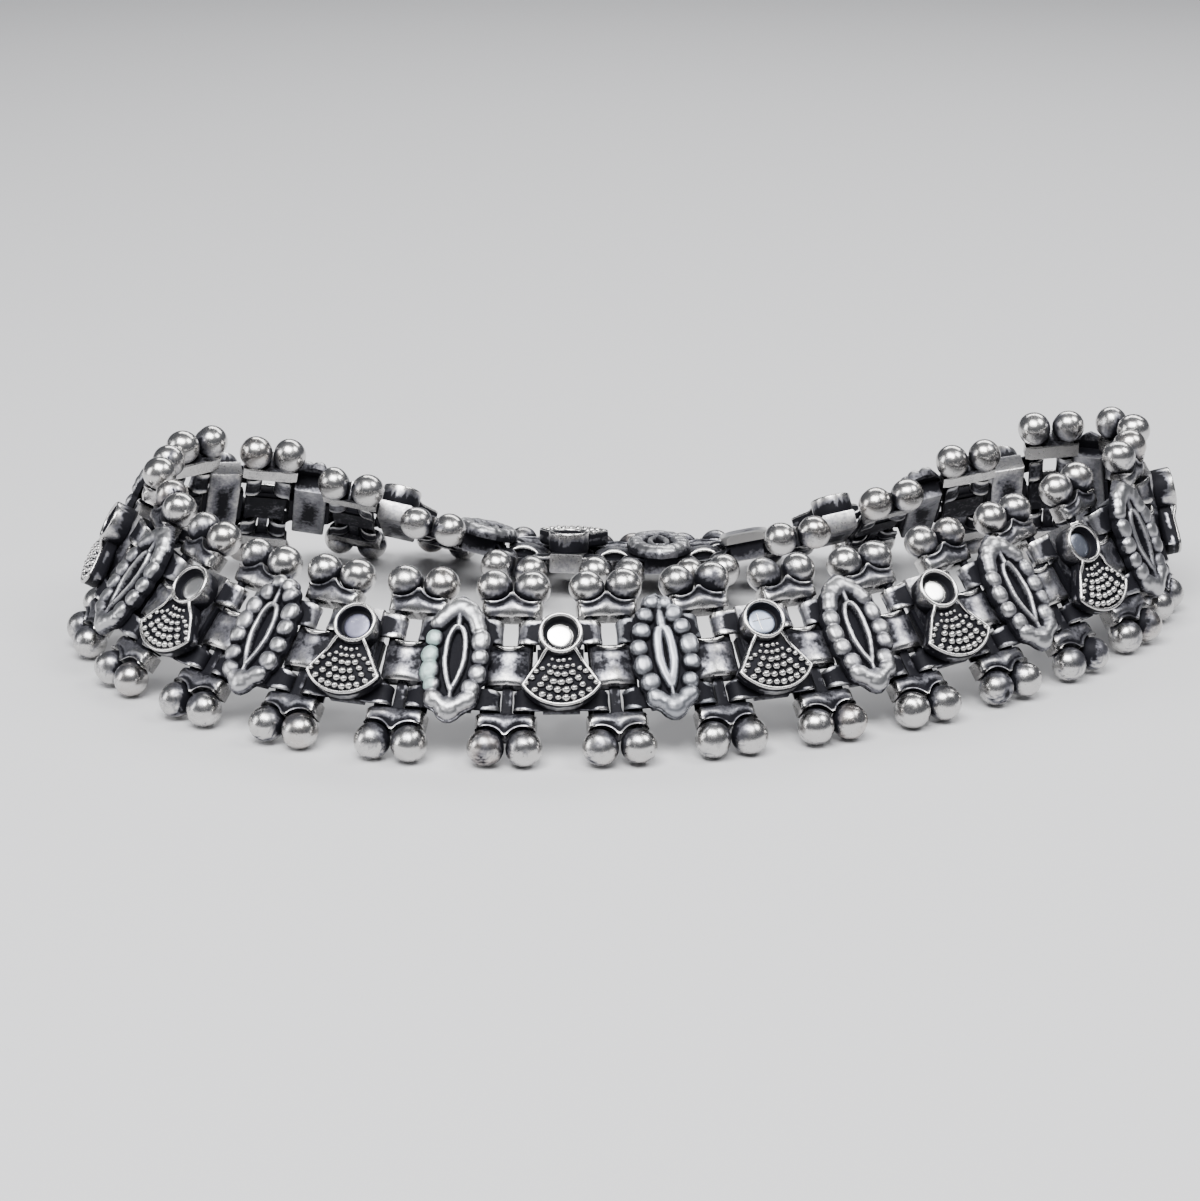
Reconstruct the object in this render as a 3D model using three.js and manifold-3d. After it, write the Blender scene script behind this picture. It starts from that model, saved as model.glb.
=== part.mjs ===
// A hinged link bracelet that stands on its lower beads as a closed, slightly splayed loop.
// Millimetres, +Z up, the loop's floor at z = 0 and the middle of its bounding box at x = y = 0.
// Every piece is drawn in its own frame: x along the band, y up across it, z out of its face.
import * as THREE from 'three';
import { mergeVertices } from 'three/addons/utils/BufferGeometryUtils.js';
import Module from 'manifold-3d';

const wasm = await Module();
wasm.setup();

// ---- driving dimensions -------------------------------------------------------------------

const PLAQUES = 27; // plaques round the loop, the clasp included
const PITCH = 7.2; // from one plaque's middle to the next
const PIN_SPAN = 2.7; // between the two pins of one link
const PIN_R = 0.33;
const BEAD_R = 1.34; // beads on the ends of the pins
const BEAD_SPAN = 12.4; // from an upper bead's middle to the lower bead's
const WIRE_SIDES = 5;
const BEAD_SIDES = 10;
const BEAD_RINGS = 4;

const BAR_INNER = 3.95; // end bars, measured from the band's middle line
// A ring of each bead's own facets sits on the end bar.
const BAR_OUTER = BEAD_SPAN / 2 - BEAD_R * Math.cos(Math.PI / BEAD_RINGS);
const BAR_HALF = 2.18;
const BAR_BACK = -0.93;
const BAR_FRONT = 0.84;

const BARREL_LOW = -1.65; // the barrel that joins the two pins
const BARREL_HIGH = 1.1;
const BARREL_HALF = 1.6;
const BARREL_BACK = -0.42;
const BARREL_EDGE = 0.36;
const BARREL_CROWN = 0.86;
const BARREL_FACETS = 4;

const HOOK_INNER = 0.48; // folded straps that hold the pins
const HOOK_OUTER = 0.74;
const HOOK_ROOT = 1.6;
const HOOK_FOLD = 0.5;
const HOOK_LIP = 0.4;
const HOOKS = [
  { name: 'upper', low: 1.4, high: 3.3 },
  { name: 'lower', low: -3.3, high: -1.95 },
];

const BASE_HALF = 1.3; // backing plate of every plaque
const BASE_LOW = -3.45;
const BASE_HIGH = 3.45;
const BASE_BACK = -0.55;
const BASE_FRONT = 1;
const FACE_SINK = 0.05; // how far a plaque's face is set into its backing plate

const ALMOND_HALF_WIDTH = 2.45;
const ALMOND_HALF_LENGTH = 4.9;
const ALMOND_FIELD = 1.3; // height of its sunk field, from the pins' plane
const ALMOND_BORDER = 1.9; // height of its raised border
const ALMOND_BORDER_WIDTH = 0.85;
const EYE_HALF_WIDTH = 0.8; // the small raised almond inside
const EYE_HALF_LENGTH = 2.5;
const EYE_TOP = 1.75;
const ALMOND_SEGMENTS = 5; // along each of its two arcs
const EYE_SEGMENTS = 3;

const CUP_Y = 1.55;
const CUP_R = 1.65;
const CUP_TOP = 2.55;
const CUP_BORE_R = 1.22;
const CUP_FLOOR = 1.85;
const CUP_SIDES = 10;
const FAN_HALF_WIDTH = 2.85;
const FAN_CORNER_Y = -2.05;
const FAN_LOW = -3.85;
const FAN_NECK_HALF = 1.15;
const FAN_NECK_Y = 0.4;
const FAN_TOP = 2.2;
const FAN_SEGMENTS = 5;

const CLASP_HALF_WIDTH = 1.9;
const CLASP_HALF_LENGTH = 3.8;
const CLASP_FRONT = 1.7;
const CLASP_CORNER = 0.6;

// The loop in plan, counterclockwise from the middle of the rear. Each stretch bends evenly
// through turn degrees, and the band's inward lean runs evenly to lean degrees at its end.
const LOOP = [
  { stretch: 'rear, left half', pitches: 2, turn: -16, lean: 80 },
  { stretch: 'rear, rising', pitches: 2, turn: 4, lean: 50 },
  { stretch: 'left corner, rear', pitches: 1.5, turn: 20, lean: 26 },
  { stretch: 'left corner', pitches: 1, turn: 57, lean: 22 },
  { stretch: 'left side', pitches: 1, turn: 25, lean: 31 },
  { stretch: 'left shoulder', pitches: 1, turn: 26, lean: 40 },
  { stretch: 'front, far left', pitches: 1.5, turn: 22, lean: 46 },
  { stretch: 'front, left', pitches: 2, turn: 24, lean: 46 },
  { stretch: 'front, middle', pitches: 3, turn: 30, lean: 46 },
  { stretch: 'front, right', pitches: 2, turn: 12, lean: 48 },
  { stretch: 'front, far right', pitches: 2, turn: 12, lean: 40 },
  { stretch: 'right shoulder', pitches: 1, turn: 6, lean: 31 },
  { stretch: 'right side', pitches: 1, turn: 14, lean: 17 },
  { stretch: 'right corner, front', pitches: 1, turn: 60, lean: 9 },
  { stretch: 'right corner, rear', pitches: 1, turn: 62, lean: 20 },
  { stretch: 'rear, falling', pitches: 2, turn: 10, lean: 54 },
  { stretch: 'rear, right half', pitches: 2, turn: -17, lean: 80 },
];
const FRONT_STATION = 13.5; // pitches from the start of the loop to the front plaque
const FRONT_HEADING = 2.5; // degrees, at the front plaque
const STEPS_PER_PITCH = 40;

// ---- closed meshes and solids ---------------------------------------------------------------

/** Turns a closed geometry into a manifold-3d solid. */
function solid(geometry) {
  const bare = geometry.index ? geometry.toNonIndexed() : geometry.clone();
  bare.deleteAttribute('normal');
  bare.deleteAttribute('uv');
  const closed = mergeVertices(bare, 1e-5);
  return new wasm.Manifold(new wasm.Mesh({
    numProp: 3,
    vertProperties: new Float32Array(closed.attributes.position.array),
    triVerts: new Uint32Array(closed.index.array),
  }));
}

/** Turns a manifold-3d solid back into a geometry. */
function geometryOf(body) {
  const mesh = body.getMesh();
  const geometry = new THREE.BufferGeometry();
  geometry.setAttribute('position', new THREE.BufferAttribute(new Float32Array(mesh.vertProperties), 3));
  geometry.setIndex(new THREE.BufferAttribute(new Uint32Array(mesh.triVerts), 1));
  geometry.computeVertexNormals();
  return geometry;
}

/** Joins a list of solids into one. */
function joined(bodies) {
  return bodies.reduce((sum, body) => sum.add(body));
}

/** A box between two corners. */
function box(x0, x1, y0, y1, z0, z1) {
  const geometry = new THREE.BoxGeometry(x1 - x0, y1 - y0, z1 - z0);
  geometry.translate((x0 + x1) / 2, (y0 + y1) / 2, (z0 + z1) / 2);
  return solid(geometry);
}

/** A straight prism on an outline in x and y, from z0 to z1. */
function prism(points, z0, z1) {
  const geometry = new THREE.ExtrudeGeometry(new THREE.Shape(points), {
    depth: z1 - z0, bevelEnabled: false, steps: 1,
  });
  geometry.translate(0, 0, z0);
  return solid(geometry);
}

// ---- outlines -------------------------------------------------------------------------------

/** A pointed almond made of two arcs, counterclockwise from its upper tip. */
function almond(halfWidth, halfLength, segments) {
  const radius = (halfWidth ** 2 + halfLength ** 2) / (2 * halfWidth);
  const reach = Math.asin(halfLength / radius);
  const points = [];
  for (const side of [-1, 1]) {
    for (let i = 0; i < segments; i += 1) {
      const angle = reach * (1 - (2 * i) / segments);
      const x = side * (halfWidth - radius + radius * Math.cos(angle));
      points.push(new THREE.Vector2(x, -side * radius * Math.sin(angle)));
    }
  }
  return points;
}

/** The flared skirt: a neck, straight flanks and a round lower edge. */
function skirt() {
  const sag = FAN_CORNER_Y - FAN_LOW;
  const radius = (FAN_HALF_WIDTH ** 2 + sag ** 2) / (2 * sag);
  const reach = Math.asin(FAN_HALF_WIDTH / radius);
  const points = [
    new THREE.Vector2(FAN_NECK_HALF, FAN_NECK_Y),
    new THREE.Vector2(-FAN_NECK_HALF, FAN_NECK_Y),
  ];
  for (let i = 0; i <= FAN_SEGMENTS; i += 1) {
    const angle = reach * ((2 * i) / FAN_SEGMENTS - 1);
    points.push(new THREE.Vector2(radius * Math.sin(angle), FAN_LOW + radius * (1 - Math.cos(angle))));
  }
  return points;
}

/** A straight-sided disc outline. */
function disc(radius, y, sides) {
  const points = [];
  for (let i = 0; i < sides; i += 1) {
    const angle = (2 * Math.PI * (i + 0.5)) / sides;
    points.push(new THREE.Vector2(radius * Math.cos(angle), y + radius * Math.sin(angle)));
  }
  return points;
}

// ---- the link: two pins, four beads, two end bars and the barrel ----------------------------

/** A bead on the end of a pin. */
function bead(x, y) {
  const geometry = new THREE.SphereGeometry(BEAD_R, BEAD_SIDES, BEAD_RINGS);
  geometry.translate(x, y, 0);
  return solid(geometry);
}

/** The rounded barrel between the pins, flat behind and crowned in front. */
function barrel() {
  const points = [new THREE.Vector2(BARREL_BACK, -BARREL_HALF), new THREE.Vector2(BARREL_BACK, BARREL_HALF)];
  for (let i = 0; i <= BARREL_FACETS; i += 1) {
    const angle = (Math.PI * i) / BARREL_FACETS;
    const rise = BARREL_EDGE + (BARREL_CROWN - BARREL_EDGE) * Math.sin(angle);
    points.push(new THREE.Vector2(rise, BARREL_HALF * Math.cos(angle)));
  }
  const geometry = new THREE.ExtrudeGeometry(new THREE.Shape(points.reverse()), {
    depth: BARREL_HIGH - BARREL_LOW, bevelEnabled: false, steps: 1,
  });
  geometry.applyMatrix4(uprightBasis(new THREE.Vector3(1, 0, 0), new THREE.Vector3(0, 1, 0)));
  geometry.translate(0, BARREL_LOW, 0);
  return solid(geometry);
}

/** A matrix that stands an extrusion up: its depth runs along up, its outline's y along across. */
function uprightBasis(across, up) {
  const out = new THREE.Vector3().crossVectors(across, up);
  return new THREE.Matrix4().makeBasis(out, across, up);
}

function makeLink() {
  const parts = [barrel()];
  for (const side of [-1, 1]) {
    const pin = new THREE.CylinderGeometry(PIN_R, PIN_R, 2 * BAR_INNER + 0.8, WIRE_SIDES);
    pin.translate((side * PIN_SPAN) / 2, 0, 0);
    parts.push(solid(pin));
  }
  for (const end of [-1, 1]) {
    const low = Math.min(end * BAR_INNER, end * BAR_OUTER);
    parts.push(box(-BAR_HALF, BAR_HALF, low, low + BAR_OUTER - BAR_INNER, BAR_BACK, BAR_FRONT));
    for (const side of [-1, 1]) {
      parts.push(bead((side * PIN_SPAN) / 2, (end * BEAD_SPAN) / 2));
    }
  }
  return joined(parts);
}

// ---- the plaques ----------------------------------------------------------------------------

function backingPlate() {
  return box(-BASE_HALF, BASE_HALF, BASE_LOW, BASE_HIGH, BASE_BACK, BASE_FRONT);
}

function almondFace() {
  const outline = almond(ALMOND_HALF_WIDTH, ALMOND_HALF_LENGTH, ALMOND_SEGMENTS);
  const body = prism(outline, BASE_FRONT - FACE_SINK, ALMOND_BORDER);
  const field = almond(
    ALMOND_HALF_WIDTH - ALMOND_BORDER_WIDTH,
    ALMOND_HALF_LENGTH - 2 * ALMOND_BORDER_WIDTH,
    ALMOND_SEGMENTS,
  );
  const eye = prism(almond(EYE_HALF_WIDTH, EYE_HALF_LENGTH, EYE_SEGMENTS), ALMOND_FIELD - FACE_SINK, EYE_TOP);
  return body.subtract(prism(field, ALMOND_FIELD, ALMOND_BORDER + 1)).add(eye);
}

function fanFace() {
  const block = prism(skirt(), BASE_FRONT - FACE_SINK, FAN_TOP);
  const cup = prism(disc(CUP_R, CUP_Y, CUP_SIDES), BASE_FRONT - FACE_SINK, CUP_TOP);
  return block.add(cup).subtract(prism(disc(CUP_BORE_R, CUP_Y, CUP_SIDES), CUP_FLOOR, CUP_TOP + 1));
}

function claspFace() {
  const points = [];
  for (const [sx, sy] of [[1, 1], [-1, 1], [-1, -1], [1, -1]]) {
    const corner = [
      new THREE.Vector2(sx * (CLASP_HALF_WIDTH - CLASP_CORNER), sy * CLASP_HALF_LENGTH),
      new THREE.Vector2(sx * CLASP_HALF_WIDTH, sy * (CLASP_HALF_LENGTH - CLASP_CORNER)),
    ];
    points.push(...(sx * sy > 0 ? corner.reverse() : corner));
  }
  return prism(points, BASE_FRONT - FACE_SINK, CLASP_FRONT);
}

/** The strap folded round one pin, in the pin's own frame; the plaque lies toward -x. */
function hook(low, high) {
  const outline = [
    [HOOK_OUTER, -HOOK_ROOT], [HOOK_OUTER, HOOK_FOLD], [0, HOOK_OUTER], [-HOOK_OUTER, HOOK_FOLD],
    [-HOOK_OUTER, -HOOK_LIP], [-HOOK_INNER, -HOOK_LIP], [-HOOK_INNER, HOOK_FOLD],
    [HOOK_INNER, HOOK_FOLD], [HOOK_INNER, -HOOK_ROOT],
  ].map(([z, x]) => new THREE.Vector2(z, x));
  const geometry = new THREE.ExtrudeGeometry(new THREE.Shape(outline), {
    depth: high - low, bevelEnabled: false, steps: 1,
  });
  geometry.translate(0, 0, low);
  return geometry;
}

/** A plaque with its four straps, each bent to follow the pin that it holds. */
function makePlaque(face, frame, neighbours) {
  const parts = [backingPlate(), face];
  const toLocal = frame.clone().invert();
  for (const { side, link } of neighbours) {
    const pin = new THREE.Vector3((-side * PIN_SPAN) / 2, 0, 0).applyMatrix4(link).applyMatrix4(toLocal);
    const up = new THREE.Vector3(0, 1, 0).transformDirection(link).transformDirection(toLocal);
    const across = new THREE.Vector3(side, 0, 0);
    across.addScaledVector(up, -across.dot(up)).normalize();
    for (const { low, high } of HOOKS) {
      const out = new THREE.Vector3(0, 0, 1);
      out.addScaledVector(up, -out.dot(up)).addScaledVector(across, -out.dot(across)).normalize();
      const basis = new THREE.Matrix4().makeBasis(out, across, up).setPosition(pin);
      const geometry = hook(low, high).applyMatrix4(basis);
      parts.push(solid(side > 0 ? geometry : flipped(geometry)));
    }
  }
  return joined(parts);
}

/** The same geometry with its faces turned over, for a mirrored placement. */
function flipped(geometry) {
  const { position } = (geometry.index ? geometry.toNonIndexed() : geometry).attributes;
  const turned = new THREE.BufferGeometry();
  const array = new Float32Array(position.array);
  for (let i = 0; i < array.length; i += 9) {
    for (let k = 0; k < 3; k += 1) {
      [array[i + k], array[i + 3 + k]] = [array[i + 3 + k], array[i + k]];
    }
  }
  turned.setAttribute('position', new THREE.BufferAttribute(array, 3));
  return turned;
}

// ---- the loop -------------------------------------------------------------------------------

/** Heading and lean, in radians, at a station counted in pitches from the loop's start. */
function bearing(station) {
  let start = 0;
  let heading = 0;
  let lean = LOOP[LOOP.length - 1].lean;
  for (const row of LOOP) {
    const share = Math.min(1, (station - start) / row.pitches);
    if (share < 1 || row === LOOP[LOOP.length - 1]) {
      return {
        heading: THREE.MathUtils.degToRad(heading + share * row.turn),
        lean: THREE.MathUtils.degToRad(lean + share * (row.lean - lean)),
      };
    }
    start += row.pitches;
    heading += row.turn;
    lean = row.lean;
  }
  return null;
}

/** Points of the band's middle line in plan, closed by sharing the small closing error out. */
function planCurve() {
  const count = PLAQUES * STEPS_PER_PITCH;
  const step = PITCH / STEPS_PER_PITCH;
  const offset = THREE.MathUtils.degToRad(FRONT_HEADING) - bearing(FRONT_STATION).heading;
  const points = [new THREE.Vector2(0, 0)];
  for (let i = 0; i < count; i += 1) {
    const { heading } = bearing((i + 0.5) / STEPS_PER_PITCH);
    const last = points[i];
    points.push(new THREE.Vector2(
      last.x + step * Math.cos(heading + offset),
      last.y + step * Math.sin(heading + offset),
    ));
  }
  const error = points[count].clone();
  points.forEach((point, i) => point.addScaledVector(error, -i / count));
  return { points, offset };
}

const plan = planCurve();

/** A point of the middle line at any station, at the height that its lean gives it. */
function middle(station) {
  const wrapped = ((station % PLAQUES) + PLAQUES) % PLAQUES;
  const at = wrapped * STEPS_PER_PITCH;
  const i = Math.floor(at);
  const a = plan.points[i];
  const b = plan.points[i + 1];
  const height = BEAD_R + (BEAD_SPAN / 2) * Math.cos(bearing(wrapped).lean);
  return new THREE.Vector3(a.x + (b.x - a.x) * (at - i), a.y + (b.y - a.y) * (at - i), height);
}

/** The frame of a piece whose two pin lines cross the middle line half a span either side. */
function pieceFrame(station, span) {
  const half = span / (2 * PITCH);
  const from = middle(station - half);
  const to = middle(station + half);
  const across = new THREE.Vector3().subVectors(to, from).normalize();
  const wrapped = ((station % PLAQUES) + PLAQUES) % PLAQUES;
  const { heading, lean } = bearing(wrapped);
  const azimuth = heading + plan.offset;
  const up = new THREE.Vector3(
    -Math.sin(lean) * Math.sin(azimuth),
    Math.sin(lean) * Math.cos(azimuth),
    Math.cos(lean),
  );
  up.addScaledVector(across, -up.dot(across)).normalize();
  const out = new THREE.Vector3().crossVectors(across, up);
  const place = new THREE.Vector3().addVectors(from, to).multiplyScalar(0.5);
  return { across, up, out, place };
}

/** A link's frame, lifted or lowered so that its lowest bead just touches the floor. */
function linkFrame(station) {
  const { across, up, out, place } = pieceFrame(station, PIN_SPAN);
  place.z = BEAD_R + (BEAD_SPAN / 2) * up.z + (PIN_SPAN / 2) * Math.abs(across.z);
  return new THREE.Matrix4().makeBasis(across, up, out).setPosition(place);
}

/** A plaque's frame, at the mean height of the two pins beside it. */
function plaqueFrame(station, before, after) {
  const { across, up, out, place } = pieceFrame(station, PITCH - PIN_SPAN);
  const left = new THREE.Vector3(PIN_SPAN / 2, 0, 0).applyMatrix4(before);
  const right = new THREE.Vector3(-PIN_SPAN / 2, 0, 0).applyMatrix4(after);
  place.z = (left.z + right.z) / 2;
  return new THREE.Matrix4().makeBasis(across, up, out).setPosition(place);
}

// ---- assembly -------------------------------------------------------------------------------

const FINISHES = {
  link: { color: 0x8d8d92, roughness: 0.3, metalness: 1 },
  marquise: { color: 0x9a9a9f, roughness: 0.38, metalness: 1 },
  fan: { color: 0x85858a, roughness: 0.34, metalness: 1 },
  clasp: { color: 0x7d7d82, roughness: 0.4, metalness: 1 },
};

function addPiece(group, name, finish, body, frame) {
  const mesh = new THREE.Mesh(geometryOf(body), new THREE.MeshStandardMaterial(FINISHES[finish]));
  mesh.name = name;
  frame.decompose(mesh.position, mesh.quaternion, mesh.scale);
  mesh.scale.set(1, 1, 1);
  group.add(mesh);
}

const twoDigits = (number) => String(number).padStart(2, '0');

function makeBracelet() {
  const loop = new THREE.Group();
  const faces = { marquise: almondFace(), fan: fanFace(), clasp: claspFace() };
  const linkBody = makeLink();
  const rear = (PLAQUES - 1) / 2;
  const links = [];
  for (let i = 0; i < PLAQUES; i += 1) {
    links.push(linkFrame(FRONT_STATION + i + 0.5));
    addPiece(loop, `link_${twoDigits(i)}`, 'link', linkBody, links[i]);
  }
  for (let i = 0; i < PLAQUES; i += 1) {
    const before = links[(i + PLAQUES - 1) % PLAQUES];
    const after = links[i];
    const turn = i <= rear ? i : PLAQUES - i;
    const kind = i === rear ? 'clasp' : ['fan', 'marquise'][turn % 2];
    const frame = plaqueFrame(FRONT_STATION + i, before, after);
    const body = makePlaque(faces[kind], frame, [{ side: -1, link: before }, { side: 1, link: after }]);
    addPiece(loop, i === rear ? 'clasp' : `${kind}_${twoDigits(i)}`, kind, body, frame);
  }
  return loop;
}

const bracelet = makeBracelet();
const extent = new THREE.Box3().setFromObject(bracelet, true);
bracelet.position.set(
  -(extent.min.x + extent.max.x) / 2,
  -(extent.min.y + extent.max.y) / 2,
  -extent.min.z,
);

const group = new THREE.Group();
group.add(bracelet);

export default group;
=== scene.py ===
"""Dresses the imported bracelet: cast plaques, folded straps, pinned links and oxidised silver.

Lengths are millimetres until a mesh is made, where they become metres. Every piece is drawn in
its own frame, x along the band, y up across it and z out of its face, and then laid on the loop.
"""
import logging
import math
from collections.abc import Iterable
from dataclasses import dataclass, field
from enum import Enum
from typing import ClassVar

import bpy
import numpy as np
from mathutils import Matrix, Vector


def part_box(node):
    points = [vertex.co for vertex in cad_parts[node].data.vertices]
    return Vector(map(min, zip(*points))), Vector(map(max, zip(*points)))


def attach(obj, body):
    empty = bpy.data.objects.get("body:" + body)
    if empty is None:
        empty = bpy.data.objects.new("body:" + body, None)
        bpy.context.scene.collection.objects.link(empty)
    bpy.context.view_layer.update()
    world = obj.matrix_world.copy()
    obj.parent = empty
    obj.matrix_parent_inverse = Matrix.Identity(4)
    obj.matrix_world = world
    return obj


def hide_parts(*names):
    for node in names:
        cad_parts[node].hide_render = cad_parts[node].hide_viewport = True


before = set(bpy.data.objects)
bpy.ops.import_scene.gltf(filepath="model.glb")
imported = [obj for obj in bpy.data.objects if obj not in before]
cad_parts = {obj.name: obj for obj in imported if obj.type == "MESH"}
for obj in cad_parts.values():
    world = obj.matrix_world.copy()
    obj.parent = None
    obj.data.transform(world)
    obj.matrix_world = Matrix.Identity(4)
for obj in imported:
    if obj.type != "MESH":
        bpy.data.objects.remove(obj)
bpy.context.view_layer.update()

log = logging.getLogger("bracelet")
Array = np.ndarray
Place = tuple[float, float]
Span = tuple[float, float]
Ridge = tuple[Place, Place, float]  # start, end and radius
Color = tuple[float, float, float]

MM = 0.001  # metres in a millimetre
PLAQUES = 27
PITCH = 7.2
PIN_SPAN = 2.7
HALF_PITCH = PITCH / 2
BEAD_R = 1.34
BEAD_SPAN = 12.4
RIPPLE_WAVES = 6  # sine waves in a ripple
AXIS_R = 0.02  # where a turned profile stops, short of its axis
FACE_BACK = 0.9  # height of a face's flat underside, just inside the backing plate
SHARP_EDGE = 48.0  # degrees between two faces from which their edge stays sharp
SAMPLE_SEED = 3  # draws the sample pieces that the wear is measured on
SPREAD_SEED = 5  # spreads the points over them
SEEDS_A_KIND = 1000  # how far apart the seeds of two kinds of piece lie


# ---- small formulas --------------------------------------------------------------------------

def smooth_step(low: float, high: float, value: Array) -> Array:
    """Zero below low, one above high, and the cubic 3t^2 - 2t^3 between them.

    Args:
        low: where the rise starts.
        high: where it ends.
        value: the numbers to map.

    Returns:
        An array of the same shape, from 0 to 1.
    """
    t = np.clip((value - low) / (high - low), 0.0, 1.0)
    return t * t * (3.0 - 2.0 * t)


def soft_max(a: Array, b: Array, blend: float) -> Array:
    """The larger of two heights, rounded over where they come within blend of each other.

    Args:
        a: first heights.
        b: second heights.
        blend: width of the rounded seam.

    Returns:
        The blended heights.
    """
    share = np.clip(0.5 + 0.5 * (a - b) / blend, 0.0, 1.0)
    return b + (a - b) * share + blend * share * (1.0 - share)


def ripple(points: Array, scale: float, rng: np.random.Generator) -> Array:
    """Smooth noise: a sum of sine waves with random directions and phases.

    Args:
        points: positions, one per row.
        scale: typical length of a wave.
        rng: source of the directions and phases.

    Returns:
        One number per point, mostly between -1 and 1.
    """
    directions = rng.normal(size=(points.shape[1], RIPPLE_WAVES)) * (2.0 / scale)
    phases = rng.uniform(0.0, 2.0 * math.pi, RIPPLE_WAVES)
    return np.sin(points @ directions + phases).sum(axis=1) / math.sqrt(RIPPLE_WAVES)


def grid_ripple(x: Array, y: Array, scale: float, rng: np.random.Generator) -> Array:
    """The ripple over a grid of places, in the grid's own shape."""
    return ripple(np.column_stack([x.ravel(), y.ravel()]), scale, rng).reshape(x.shape)


def bell(value: Array, middle: float, width: float) -> Array:
    """A bell curve, exp(-((value - middle) / width)^2)."""
    return np.exp(-((value - middle) / width) ** 2)


def dome(share: Array, power: float) -> Array:
    """The height (1 - share^power)^0.5 of a rounded form, and zero past its edge at the share 1."""
    return np.clip(1.0 - share ** power, 0.0, None) ** 0.5


def unit(rows: Array) -> Array:
    """Vectors, one per row, brought to a length of 1."""
    return rows / np.linalg.norm(rows, axis=1, keepdims=True)


def grid_points(x: Array, y: Array, z: Array) -> Array:
    """A grid of points from three arrays that stretch to one shape."""
    return np.stack(np.broadcast_arrays(x, y, z), axis=2)


def rectangle(half: float, low: float, high: float) -> Array:
    """The corners of an upright rectangle, from low to high across the band."""
    return np.array([[-half, low], [half, low], [half, high], [-half, high]])


def segment_distance(x: Array, y: Array, start: Place, end: Place) -> Array:
    """Distance in the plane from each point to a straight segment.

    Args:
        x: point coordinates along the band.
        y: point coordinates across it.
        start: one end of the segment.
        end: the other end.

    Returns:
        The distances.
    """
    run = np.array(end) - np.array(start)
    share = np.clip(((x - start[0]) * run[0] + (y - start[1]) * run[1]) / (run @ run), 0.0, 1.0)
    return np.hypot(x - start[0] - share * run[0], y - start[1] - share * run[1])


# ---- closed surfaces -------------------------------------------------------------------------

@dataclass
class Shell:
    """One closed surface.

    points has a row per vertex, quads and tris a row per face. slot is the material slot of all
    its faces. bias shifts how worn it looks, by one value or by one for each vertex; on the
    barrel, the straps and the lip it also paints a highlight or shade. tint turns its colour
    cool (positive) or warm (negative). pull says which neighbouring link each vertex
    follows, from -1 for the left one to 1 for the right one.
    """

    points: Array
    quads: Array
    tris: Array
    slot: int = 0
    bias: Array | float = 0.0
    tint: float = 0.0
    pull: Array | None = None

    def corners(self) -> Array:
        """All faces as triangles, quads split in two."""
        halves = [self.quads[:, [0, 1, 2]], self.quads[:, [0, 2, 3]], self.tris]
        return np.concatenate(halves).astype(int)

    def outward(self) -> "Shell":
        """Turns the faces over if the volume under them comes out negative.

        Returns:
            The shell itself.
        """
        a, b, c = (self.points[self.corners()[:, k]] for k in range(3))
        if np.einsum("ij,ij->", a - self.points.mean(axis=0), np.cross(b - a, c - a)) < 0.0:
            self.quads = self.quads[:, ::-1]
            self.tris = self.tris[:, ::-1]
        return self

    def moved(self, shift: tuple[float, float, float]) -> "Shell":
        """The same shell, moved."""
        self.points = self.points + np.array(shift)
        return self


def lattice(rows: int, cols: int, wrapped: bool) -> Array:
    """Quads of a grid of vertices numbered row by row.

    Args:
        rows: vertices along the first parameter.
        cols: vertices along the second.
        wrapped: whether the last column joins the first.

    Returns:
        One row of four vertex numbers per quad.
    """
    i, j = np.meshgrid(np.arange(rows - 1), np.arange(cols - (not wrapped)), indexing="ij")
    i, j = i.ravel(), j.ravel()
    up, along = i + 1, (j + 1) % cols
    return np.stack([i * cols + j, i * cols + along, up * cols + along, up * cols + j], axis=1)


def fan_of(ring: Array, hub: int) -> Array:
    """Triangles from a hub vertex to each side of a closed ring of vertices."""
    return np.stack([np.full(len(ring), hub), ring, np.roll(ring, -1)], axis=1)


def capped(rings: Array, hubs: Array) -> Shell:
    """A tube through rings of points, each end closed by a fan to its hub.

    Args:
        rings: points by ring, by place in the ring, by coordinate.
        hubs: the points that close the first ring and the last.

    Returns:
        The closed shell.
    """
    count, sides, _ = rings.shape
    first = np.arange(sides)
    last = first + (count - 1) * sides
    tris = np.concatenate([fan_of(first, count * sides)[:, ::-1], fan_of(last, count * sides + 1)])
    points = np.concatenate([rings.reshape(-1, 3), hubs])
    return Shell(points, lattice(count, sides, True), tris).outward()


def lofted(rings: Array) -> Shell:
    """A tube through rings of points, each end closed by a fan to the ring's mean point."""
    return capped(rings, rings[[0, -1]].mean(axis=1))


def rod(path: Array, radius: Array | float, sides: int) -> Shell:
    """A round wire: circles of the given radius, square to the path at each of its points.

    Args:
        path: points along the wire's middle.
        radius: one radius, or one for each point.
        sides: points round the wire.

    Returns:
        The closed shell.
    """
    run = unit(np.gradient(path, axis=0))
    guide = np.array([0.0, 0.0, 1.0]) if abs(run[:, 2]).max() < 0.9 else np.array([1.0, 0.0, 0.0])
    side = unit(np.cross(run, guide))
    lift = np.cross(side, run)
    angle = np.linspace(0.0, 2.0 * math.pi, sides, endpoint=False)[None, :, None]
    size = np.broadcast_to(radius, len(path))[:, None, None]
    return lofted(path[:, None] + size * (np.cos(angle) * side[:, None] + np.sin(angle) * lift[:, None]))


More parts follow.
